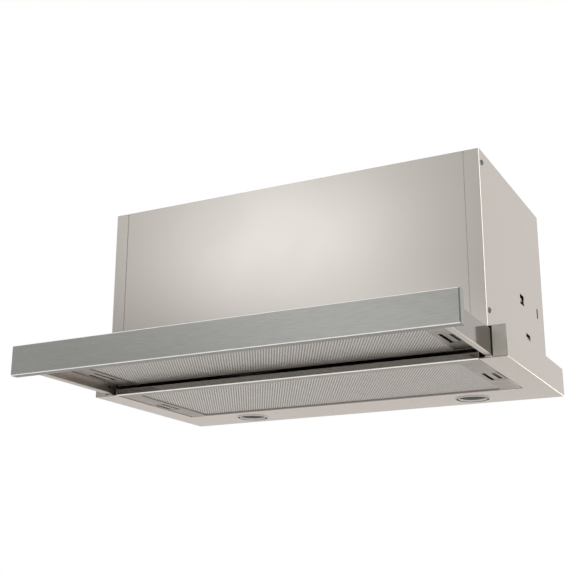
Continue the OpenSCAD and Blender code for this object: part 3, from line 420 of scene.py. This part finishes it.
def silver_paint(name, colour, low, high):
    material, tree, shader = start_finish(
        name, colour, PAINT_METALLIC, low, Specular_Tint=PAINT_RIM)
    toned(tree, shader, colour, noise(tree, FLAKES, 1.0), 0.025)
    roughened(tree, shader, noise(tree, SHEEN_PATCHES, 3.0), low, high)
    relief(tree, shader, noise(tree, ORANGE_PEEL, 1.0), 0.035, PEEL_DEPTH)
    return material


finishes["body_paint"] = silver_paint("body_paint", (0.530, 0.490, 0.454), 0.19, 0.22)
finishes["tray_paint"] = silver_paint("tray_paint", (0.505, 0.466, 0.432), 0.28, 0.33)
# Painted shade: the crossbar's paint is the body paint, darkened and glossier.
finishes["crossbar_painted_shade"] = silver_paint("crossbar_painted_shade", (0.300, 0.282, 0.262), 0.10, 0.13)
# Painted shade: the profiles' outer walls take a darker, glossier copy of the tray paint.
finishes["rail_wall_painted_shade"] = silver_paint("rail_wall_painted_shade", (0.305, 0.284, 0.265), 0.06, 0.09)
print("painted finishes:", sorted(finishes))

# %% [markdown]
# The front panel is stainless sheet, brushed along its length. Brushing leaves thousands of
# fine scratches side by side. The shader's anisotropy could smear the light as they do, but it
# wouldn't show the scratches themselves. Noise stretched far along X does both: a coarse set
# shows from a step away, and a fine set only scatters the light. The panel's bends, its lip and
# its ends come from the same recipe, each with its own colour: the bends are near white, a
# painted highlight, and the lip and the ends are darker, painted shade.

# %% Brushed stainless sheet
COARSE_SCRATCHES = (55.0, 1500.0, 1500.0)
FINE_SCRATCHES = (120.0, 5200.0, 5200.0)
SCRATCH_DEPTH = 0.00006


def brushed_sheet(name, colour, low, high, rim=1.0):
    material, tree, shader = start_finish(name, colour, 1.0, low, Specular_Tint=(rim, rim, rim, 1))
    coarse = noise(tree, COARSE_SCRATCHES, 4.0)
    fine = noise(tree, FINE_SCRATCHES, 2.0)
    toned(tree, shader, colour, coarse, 0.07)
    roughened(tree, shader, fine, low, high)
    relief(tree, shader, fine, 0.25, SCRATCH_DEPTH)
    return material


finishes["brushed_panel"] = brushed_sheet("brushed_panel", (0.365, 0.362, 0.342), 0.28, 0.33)
# Painted highlight: a near-white copy of the brushed finish, for the bright line along the bends.
finishes["painted_highlight_edge"] = brushed_sheet("painted_highlight_edge", (0.90, 0.895, 0.875), 0.16, 0.24)
finishes["panel_joint"] = brushed_sheet("panel_joint", (0.085, 0.085, 0.080), 0.30, 0.40)
# Painted shade: the lip underneath is a darker copy of the brushed finish.
finishes["panel_lip"] = brushed_sheet("panel_lip", (0.215, 0.212, 0.203), 0.28, 0.34, rim=0.85)
# Painted shade: the end strips are a darker, greenish copy of the brushed finish.
finishes["end_painted_shade"] = brushed_sheet("end_painted_shade", (0.300, 0.312, 0.295), 0.30, 0.40)
print("brushed finish:", finishes["brushed_panel"].name)

# %% [markdown]
# The filters' frames and latches are satin aluminium, rolled along their length, and their mesh
# is the same metal slit and pulled open. The folded foil behind the mesh is seen only through
# its eyes, in the mesh's shade, so it gets a dull, near-black colour of its own, which is
# painted shade. The top and back of the fan box are bare zinc-coated steel, which has flat
# crystals, called spangle, a few millimetres across.

# %% Satin aluminium and zinc-coated steel
ROLLED_GRAIN = (30.0, 900.0, 900.0)
SATIN_PATCHES = 40.0
SPANGLE = 170.0
FINE_DEPTH = 0.00005


def satin_metal(name, colour, low, high, grain=ROLLED_GRAIN, metallic=0.9):
    material, tree, shader = start_finish(name, colour, metallic, low, Specular_Tint=PAINT_RIM)
    toned(tree, shader, colour, noise(tree, grain, 3.0), 0.05)
    roughened(tree, shader, noise(tree, SATIN_PATCHES, 3.0), low, high)
    relief(tree, shader, noise(tree, grain, 2.0), 0.08, FINE_DEPTH)
    return material


def zinc_sheet(name, colour):
    material, tree, shader = start_finish(name, colour, 0.9, 0.4)
    spangle = tree.nodes.new("ShaderNodeTexVoronoi")
    spangle.inputs["Scale"].default_value = 1.0
    tree.links.new(stretched(tree, SPANGLE), spangle.inputs["Vector"])
    grey = tree.nodes.new("ShaderNodeSeparateColor")
    tree.links.new(spangle.outputs["Color"], grey.inputs["Color"])
    toned(tree, shader, colour, grey.outputs["Red"], 0.07)
    roughened(tree, shader, grey.outputs["Green"], 0.32, 0.46)
    return material


finishes["filter_metal"] = satin_metal("filter_metal", (0.325, 0.300, 0.278), 0.30, 0.40)
finishes["filter_mesh"] = satin_metal(
    "filter_mesh", (0.600, 0.573, 0.548), 0.40, 0.50, 700.0, metallic=0.55)
# Painted shade: the foil behind the mesh is near black because it lies in shade.
finishes["foil_painted_shade"] = satin_metal(
    "foil_painted_shade", (0.080, 0.076, 0.072), 0.45, 0.55, 700.0, metallic=0.3)
finishes["galvanised_steel"] = zinc_sheet("galvanised_steel", (0.47, 0.47, 0.46))
print("metal finishes:", len(finishes))

# %% [markdown]
# Moulded plastic takes the fine grain of its mould, and dark plastic shows it as a faint
# mottling in its shine. A plain colour would look like painted card, so one recipe gives all
# the mouldings this grain, and each has its own colour and grain size.

# %% Moulded plastics
PLASTIC_MOTTLE = 60.0
PLASTIC_SHINE = 25.0
SHINE_SPREAD = 0.05
GRAIN_DEPTH = 0.00008


def moulding(name, colour, roughness, grain):
    material, tree, shader = start_finish(name, colour, 0.0, roughness)
    toned(tree, shader, colour, noise(tree, PLASTIC_MOTTLE, 3.0), 0.04)
    roughened(tree, shader, noise(tree, PLASTIC_SHINE, 2.0),
              roughness - SHINE_SPREAD, roughness + SHINE_SPREAD)
    relief(tree, shader, noise(tree, grain, 2.0), 0.18, GRAIN_DEPTH)
    return material


finishes["cap_plastic"] = moulding("cap_plastic", (0.345, 0.330, 0.295), 0.42, 2600.0)
finishes["white_plastic"] = moulding("white_plastic", (0.70, 0.68, 0.64), 0.40, 1800.0)
finishes["black_plastic"] = moulding("black_plastic", (0.030, 0.030, 0.032), 0.45, 2200.0)
finishes["blower_plastic"] = moulding("blower_plastic", (0.060, 0.062, 0.066), 0.50, 1500.0)
finishes["plunger_plastic"] = moulding("plunger_plastic", (0.50, 0.09, 0.05), 0.40, 2600.0)
finishes["slider_plastic"] = moulding("slider_plastic", (0.26, 0.27, 0.28), 0.42, 2600.0)
print("finishes so far:", len(finishes))

# %% [markdown]
# The last group are the small metal parts and the lamp. Plated screws are bright with fine
# turning marks, the motor shell is cast and duller, and the capacitor is a drawn can. The
# lamp's ring is satin paint. Its lens is smoked, frosted glass with a dimpled inner face, dark
# while the light is off, and the white wall of its recess is the moulding recipe once more.

# %% Small metal parts and the lamp
LENS_DIMPLES = 700.0
DIMPLE_DEPTH = 0.0002


def turned_metal(name, colour, low, high, grain):
    material, tree, shader = start_finish(name, colour, 1.0, low)
    toned(tree, shader, colour, noise(tree, grain, 3.0), 0.08)
    roughened(tree, shader, noise(tree, grain * 3, 2.0), low, high)
    relief(tree, shader, noise(tree, grain * 2, 2.0), 0.12, FINE_DEPTH)
    return material


def smoked_lens(name, colour):
    material, tree, shader = start_finish(
        name, colour, 0.0, 0.40, Transmission_Weight=0.2, IOR=1.2, Specular_IOR_Level=0.0)
    toned(tree, shader, colour, noise(tree, 120.0, 2.0), 0.10)
    dimples = tree.nodes.new("ShaderNodeTexVoronoi")
    dimples.inputs["Scale"].default_value = 1.0
    tree.links.new(stretched(tree, LENS_DIMPLES), dimples.inputs["Vector"])
    relief(tree, shader, dimples.outputs["Distance"], 0.15, DIMPLE_DEPTH)
    return material


finishes["screw_steel"] = turned_metal("screw_steel", (0.19, 0.185, 0.178), 0.24, 0.36, 900.0)
finishes["motor_metal"] = turned_metal("motor_metal", (0.34, 0.35, 0.36), 0.38, 0.52, 350.0)
finishes["capacitor_can"] = turned_metal("capacitor_can", (0.66, 0.66, 0.65), 0.26, 0.36, 500.0)
finishes["lamp_metal"] = turned_metal("lamp_metal", (0.33, 0.34, 0.35), 0.38, 0.50, 400.0)
finishes["lamp_ring"] = satin_metal("lamp_ring", (0.66, 0.64, 0.61), 0.40, 0.48, 800.0)
finishes["lamp_wall"] = moulding("lamp_wall", (0.86, 0.85, 0.83), 0.35, 1800.0)
finishes["lamp_glass"] = smoked_lens("lamp_glass", (0.105, 0.109, 0.105))
print("all finishes:", len(finishes))

# %% [markdown]
# The record of the frame says which finish each piece takes. The CAD pieces keep their meshes,
# and only their material slots change. The foil cores are set apart from their mesh here, and
# take the near-black painted shade.

# %% Dress the frame
slot_of = {part["node"]: part["material_slot"] for part in frame["record"]["subparts"]}
for name, node in nodes.items():
    finish = "foil_painted_shade" if name.endswith("filter_core") else slot_of[name]
    for place in node.material_slots:
        place.material = finishes[finish]
print("dressed pieces:", len(slot_of))

# %% [markdown]
# Folded sheet never has a knife edge: its cut rim is slightly rounded and catches the light.
# The sheets could be drawn again from nothing, but their holes and folds are already exact in
# the frame. So a copy of the CAD piece is made whole again from its loose triangles, its flat
# parts are dissolved back to single faces, and a narrow bevel eases every sharp edge. A
# weighted normal modifier then lets the big faces decide the shading, so that flat sheet looks
# flat.

# %% Helper for eased pieces
EASE = 0.00025
SHARP = math.radians(28)
FLAT = math.radians(1)
WELD = 0.00001


def finish_piece(bm, name, body, slot, stands_for=(), material=None):
    for face in bm.faces:
        face.smooth = True
    for edge in bm.edges:
        edge.smooth = edge.is_manifold and edge.calc_face_angle(0) < SHARP
    mesh = bpy.data.meshes.new(name)
    bm.to_mesh(mesh)
    bm.free()
    piece = bpy.data.objects.new(name, mesh)
    bpy.context.scene.collection.objects.link(piece)
    mesh.materials.append(material or finishes[slot])
    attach(piece, body)
    if stands_for:
        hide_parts(*stands_for)
    return piece


def whole_copy(node_name):
    bm = bmesh.new()
    bm.from_mesh(nodes[node_name].data)
    bmesh.ops.remove_doubles(bm, verts=bm.verts, dist=WELD)
    bmesh.ops.dissolve_limit(bm, angle_limit=FLAT, verts=bm.verts, edges=bm.edges)
    return bm


def ease_edges(bm, ease, segments):
    sharp = [e for e in bm.edges if e.is_manifold and e.calc_face_angle(0) > SHARP]
    made = bmesh.ops.bevel(bm, geom=sharp, offset=ease, offset_type="OFFSET",
                           segments=segments, profile=0.5, affect="EDGES",
                           clamp_overlap=True, material=-1)
    return set(made["faces"])


def eased_copy(node_name, ease=EASE, segments=2, narrower=(0.0, 0.0), finish=None):
    bm = whole_copy(node_name)
    if any(narrower):
        low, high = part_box(node_name)
        middle, size = (low + high) / 2, high - low
        keep = Vector((1 - 2 * narrower[0] / size.x, 1 - 2 * narrower[1] / size.y, 1))
        bmesh.ops.scale(bm, verts=bm.verts, vec=keep, space=Matrix.Translation(-middle))
    ease_edges(bm, ease, segments)
    piece = finish_piece(bm, node_name + "_eased", nodes[node_name]["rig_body"],
                         slot_of[node_name], (node_name,), finishes[finish or slot_of[node_name]])
    weighted = piece.modifiers.new("flat_sheet", "WEIGHTED_NORMAL")
    weighted.keep_sharp = True
    return piece


def ease_all(names, **how):
    for name in names:
        piece = eased_copy(name, **how)
        print(name, "faces:", len(piece.data.polygons))


print("edges count as sharp above", round(math.degrees(SHARP)), "degrees")

# %% [markdown]
# The housing is a low base with a fan box on it, folded from thin steel sheet. Each sheet is an
# eased copy of its own CAD piece, so it keeps every fold, hole and window. The front cover is
# made a little narrower, so that the seam beside it shows as the thin dark line it is.

# %% Eased sheets of the housing
COVER_SEAM = 0.0008
ease_all(["left_side_panel", "right_side_panel", "back_panel", "top_panel",
          "left_runner_channel", "right_runner_channel"])
ease_all(["base_housing"], ease=0.00012)
ease_all(["front_cover"], narrower=(COVER_SEAM, 0))

# %% [markdown]
# The side sheets have punched windows for the mounting brackets. In the photograph a light
# tongue shows inside two of them, just behind the sheet. A patch of light paint would do from
# this one side only, so each tongue is a real plate, a cube stretched thin. Its place is two
# spans, one back from the sheet's front and one down from its top.

# %% Bracket tongues in the windows
TONGUE_T = 0.0006
TONGUE_GAP = 0.0020
UPPER_TONGUE = ((0.1580, 0.1774), (0.1527, 0.1577))
LOWER_TONGUE = ((0.1815, 0.2008), (0.2020, 0.2080))


def window_tongue(side, name, along, down):
    low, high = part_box(side + "_side_panel")
    sign = 1 if side == "right" else -1
    outside = max(high.x, -low.x) - TONGUE_GAP - TONGUE_T / 2
    bm = bmesh.new()
    bmesh.ops.create_cube(bm, size=1)
    bmesh.ops.scale(bm, verts=bm.verts, vec=(TONGUE_T, along[1] - along[0], down[1] - down[0]))
    middle = Vector((sign * outside, low.y + sum(along) / 2, high.z - sum(down) / 2))
    bmesh.ops.translate(bm, verts=bm.verts, vec=middle)
    return finish_piece(bm, f"{side}_{name}", nodes[side + "_side_panel"]["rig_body"], "body_paint")


for side in ("left", "right"):
    upper = window_tongue(side, "upper_tongue", *UPPER_TONGUE)
    lower = window_tongue(side, "lower_tongue", *LOWER_TONGUE)
    print(upper.name, lower.name)

# %% [markdown]
# The crossbar stiffens the front of the base. Its front is glossy and mirrors the dark under the
# filter above it, and its paint is a darker copy of the body paint, which is painted shade. Its
# folded lower edge is bright: the edge could be a strip of its own, but it is one sheet with the
# front, so only the faces that look down take the near-white finish, a painted highlight.
# The end caps close the base, and they are moulded, so their edges are softer than those of
# sheet.

# %% Crossbar and end caps
DOWNWARD = -0.4
crossbar = eased_copy("front_crossbar", ease=0.0006, segments=3, finish="crossbar_painted_shade")
# Faces that look down take the near-white painted highlight.
crossbar.data.materials.append(finishes["painted_highlight_edge"])
for face in crossbar.data.polygons:
    face.material_index = int(face.normal.z < DOWNWARD)
ease_all(["left_end_cap", "right_end_cap"], ease=0.0007, segments=3)

# %% [markdown]
# The tray is a frame of folded profiles that runs in the base. In the photograph the outer wall
# of each side profile mirrors the grey cap beside it quite sharply, so its faces get a glossier
# paint than the rest, and a darker one, which is painted shade. A second paint on one mesh is
# enough for that: the faces are told apart by where they lie and the way they point.

# %% The pull-out tray
SIDEWAYS = 0.9
ease_all(["tray_front_rail", "tray_rear_rail"])
for name in ("tray_left_profile", "tray_right_profile"):
    low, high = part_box(name)
    profile = eased_copy(name)
    profile.data.materials.append(finishes["rail_wall_painted_shade"])
    outside = max(high.x, -low.x)
    for face in profile.data.polygons:
        # The outer wall's darker colour is painted shade.
        on_wall = abs(face.normal.x) > SIDEWAYS and abs(face.center.x) > outside - EASE
        face.material_index = int(on_wall)
    print(name, "outer wall at", round(outside, 4))

# %% [markdown]
# The brushed front panel hooks over the tray. Its long bends are tight, and each draws a bright
# line in the photograph; here that line is a painted highlight, a near-white copy of the brushed
# finish on the bend's faces. A bevel of one step would only draw a hard stripe, so they get a
# slightly wider bevel with three. At each end the sheet stops at a thin dark joint, and an end
# strip closes it, in a darker copy of the finish that is painted shade. The lip underneath is
# in shade, and its darker colour is painted shade. The way a face points tells which of them it is.

# %% Front panel
PANEL_FINISHES = ("brushed_panel", "painted_highlight_edge", "panel_joint", "end_painted_shade", "panel_lip")
END_ACROSS, JOINT_ACROSS = 0.98, 0.2
BEND_SLOPE = 0.3
LIP_DOWN = -0.9


def panel_finish(normal):
    across, ahead, up = (abs(part) for part in normal)
    # The end faces take the end strips' painted shade.
    if across > END_ACROSS:
        return "end_painted_shade"
    if across > JOINT_ACROSS:
        return "panel_joint"
    # The bends take the painted highlight.
    if ahead > BEND_SLOPE and up > BEND_SLOPE:
        return "painted_highlight_edge"
    # Faces that look down take the lip's painted shade.
    return "panel_lip" if normal.z < LIP_DOWN else "brushed_panel"


panel = eased_copy("front_panel", ease=0.0004, segments=3)
for extra in PANEL_FINISHES[1:]:
    panel.data.materials.append(finishes[extra])
for face in panel.data.polygons:
    face.material_index = PANEL_FINISHES.index(panel_finish(face.normal))
print("panel faces:", len(panel.data.polygons))

# %% [markdown]
# Each grease filter sits in a folded aluminium frame. In the photograph a thin dark gap runs
# all round it, a little wider than the frame's own clearance. A painted line would be flat, so
# the frame itself is drawn in, by nearly a millimetre and a half at each end and by a
# millimetre along the front and back.

# %% Filter frames
FRAME_GAP = (0.0014, 0.0009)
ease_all(["base_filter_frame", "tray_filter_frame"], ease=0.0001, narrower=FRAME_GAP)

# %% [markdown]
# A sliding latch at each end holds a filter. It is a small plate with a long slot for the
# fingertip, dark inside. A boolean could cut the slot, but it leaves long thin faces that bevel
# badly. Here the plate starts as a cube, four cuts mark the slot on its underside, and the face
# between them is pushed in. The slot's flat faces take black plastic as painted shade for the
# dark inside the opening, and its eased edges stay metal.

# %% Filter latches
SLOT_W = 0.0050
SLOT_L = 0.0360
SLOT_OUT = 0.0079
SLOT_DEPTH = 0.0024
END_GAP = 0.0008
LATCH_L = 0.045
PLATE_W = 0.016
PLATE_L = LATCH_L - END_GAP
PLATE_T = 0.003
JUST_OVER_HALF = 0.51
UNDERSIDE = -0.9


def make_latch(node_name, side):
    low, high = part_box(node_name)
    inner, outer = (low.x, high.x) if side > 0 else (high.x, low.x)
    middle = Vector((inner + side * PLATE_W / 2, (low.y + high.y) / 2 - END_GAP / 2,
                     low.z + PLATE_T / 2))
    slot_middle = outer - side * (SLOT_OUT + SLOT_W / 2)
    bm = bmesh.new()
    bmesh.ops.create_cube(bm, size=1)
    bmesh.ops.scale(bm, verts=bm.verts, vec=(PLATE_W, PLATE_L, PLATE_T))
    bmesh.ops.translate(bm, verts=bm.verts, vec=middle)
    rims = [((slot_middle + turn * SLOT_W / 2, 0, 0), (1, 0, 0)) for turn in (-1, 1)]
    rims += [((0, middle.y + turn * SLOT_L / 2, 0), (0, 1, 0)) for turn in (-1, 1)]
    for place, across in rims:
        bmesh.ops.bisect_plane(bm, geom=bm.verts[:] + bm.edges[:] + bm.faces[:],
                               plane_co=place, plane_no=across)
    mouth = Vector((slot_middle, middle.y, low.z))
    under = min((f for f in bm.faces if f.normal.z < UNDERSIDE),
                key=lambda f: (f.calc_center_median() - mouth).length)
    pushed = bmesh.ops.extrude_face_region(bm, geom=[under])
    floor_verts = [v for v in pushed["geom"] if isinstance(v, bmesh.types.BMVert)]
    bmesh.ops.translate(bm, verts=floor_verts, vec=(0, 0, SLOT_DEPTH))
    bmesh.ops.delete(bm, geom=[under], context="FACES_ONLY")
    eased = ease_edges(bm, EASE, 2)
    # The black of the slot's flat faces is painted shade.
    for face in bm.faces:
        place = face.calc_center_median() - mouth
        in_slot = (abs(place.x) < SLOT_W * JUST_OVER_HALF
                   and abs(place.y) < SLOT_L * JUST_OVER_HALF
                   and EASE < place.z < EASE + SLOT_DEPTH)
        face.material_index = int(in_slot and face not in eased)
    piece = finish_piece(bm, node_name + "_plate", nodes[node_name]["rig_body"],
                         slot_of[node_name], (node_name,))
    piece.data.materials.append(finishes["black_plastic"])
    print(node_name, "faces:", len(piece.data.polygons))


for place in ("base", "tray"):
    make_latch(f"left_{place}_latch", -1)
    make_latch(f"right_{place}_latch", 1)

# %% [markdown]
# The filter's skin is expanded metal: sheet is slit, then pulled until the slits open into
# diamonds, and its strands come out slightly tilted. A printed pattern of diamonds would look
# the same from everywhere, but real eyes close up as the view gets flatter, and they let the
# dark foil show. One cell, made of two rings of four strands, is enough, because two array
# modifiers repeat it along the width and the depth. The rings share their outer corners, so the
# pattern closes without a gap.

# %% Expanded metal
CELL_X, CELL_Y = 0.0038, 0.0070
STRAND_SHARE = 0.45
TILT_SHARE = 0.08
EYE_DEPTH = 0.10
HEIGHT_SHARE = 1 / 1.3
MESH_SINK = 0.0012
FACING_UP = 0.3
TINY = 0.000001


def strand_ring(bm, middle, half_x, half_y, low, high):
    """Four tilted strands around one opening, with the wall of the opening above them."""
    level = (low + high) / 2
    keep = 1 - STRAND_SHARE
    tilt = (high - low) / 2 * TILT_SHARE
    corners = [(1, 0, level), (0, 1, level - tilt), (-1, 0, level), (0, -1, level + tilt)]
    outer = [bm.verts.new(middle + Vector((x * half_x, y * half_y, level))) for x, y, _ in corners]
    inner = [bm.verts.new((middle.x + x * half_x * keep, middle.y + y * half_y * keep, z))
             for x, y, z in corners]
    above = [bm.verts.new((v.co.x, v.co.y, v.co.z + (high - low) * EYE_DEPTH)) for v in inner]
    for i in range(4):
        j = (i + 1) % 4
        bm.faces.new((outer[i], inner[i], inner[j], outer[j]))
        bm.faces.new((inner[i], above[i], above[j], inner[j]))


def expanded_metal(node_name):
    low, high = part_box(node_name)
    across = int((high.x - low.x) / CELL_X)
    along = int((high.y - low.y) / CELL_Y)
    step_x = (high.x - low.x) / (across + 0.5)
    step_y = (high.y - low.y) / (along + 0.5)
    height = (high.z - low.z) * HEIGHT_SHARE
    low.z -= MESH_SINK
    bm = bmesh.new()
    for shift in (0.5, 1.0):
        middle = Vector((low.x + shift * step_x, low.y + shift * step_y, 0))
        strand_ring(bm, middle, step_x / 2, step_y / 2, low.z, low.z + height)
    bmesh.ops.remove_doubles(bm, verts=bm.verts, dist=TINY)
    for face in bm.faces:
        if face.normal.z > FACING_UP:
            face.normal_flip()
    piece = finish_piece(bm, node_name + "_expanded", nodes[node_name]["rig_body"],
                         slot_of[node_name], (node_name,))
    for count, offset in ((across, (step_x, 0, 0)), (along, (0, step_y, 0))):
        repeat = piece.modifiers.new("repeat", "ARRAY")
        repeat.count = count
        repeat.use_relative_offset = False
        repeat.use_constant_offset = True
        repeat.constant_offset_displace = offset
    print(node_name, "cells:", across, "by", along)


expanded_metal("base_filter_mesh")
expanded_metal("tray_filter_mesh")

# %% [markdown]
# Each lamp is a thin ring round a smoked lens. The lens has a flat flange and a recessed
# middle, so from below and ahead the far wall of the recess shows as a bright crescent, and the
# rest looks dark. Stacked cylinders could give the outline, but not the small rounded lip that
# catches the light. So both profiles are drawn as a few points, each a radius and a height
# above the lamp's lower face, and a full spin turns them round.

# %% Lamps
RING = [(0.0250, 0.0012), (0.0250, 0.0004), (0.0246, 0.0), (0.0240, 0.0), (0.0238, 0.0003),
        (0.0237, 0.0011), (0.0237, 0.0012), (0.0250, 0.0012)]
LENS = [(0.0, 0.0034), (0.0201, 0.0034), (0.0204, 0.0010), (0.0236, 0.0010), (0.0236, 0.0012),
        (0.0207, 0.0012), (0.0206, 0.0040), (0.0, 0.0040)]
STEEP = 0.5


def turned(profile, middle, base, steps=64):
    bm = bmesh.new()
    verts = [bm.verts.new((middle.x + r, middle.y, base + up)) for r, up in profile]
    edges = [bm.edges.new(pair) for pair in zip(verts, verts[1:])]
    bmesh.ops.spin(bm, geom=verts + edges, cent=(middle.x, middle.y, 0), axis=(0, 0, 1),
                   angle=math.tau, steps=steps, use_merge=True)
    bmesh.ops.remove_doubles(bm, verts=bm.verts, dist=TINY)
    bmesh.ops.recalc_face_normals(bm, faces=bm.faces)
    return bm


def turned_piece(profile, middle, base, name, slot, stands_for):
    return finish_piece(turned(profile, middle, base), name, nodes[stands_for]["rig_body"],
                        slot, (stands_for,))


for side in ("left", "right"):
    low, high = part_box(side + "_lamp_bezel")
    middle = (low + high) / 2
    bezel = turned_piece(RING, middle, low.z, side + "_lamp_ring", "lamp_ring",
                         side + "_lamp_bezel")
    lens = turned_piece(LENS, middle, low.z, side + "_lamp_window", "lamp_glass",
                        side + "_lamp_lens")
    lens.data.materials.append(finishes["lamp_wall"])
    for face in lens.data.polygons:
        face.material_index = int(abs(face.normal.z) < STEEP)
    print(bezel.name, lens.name)
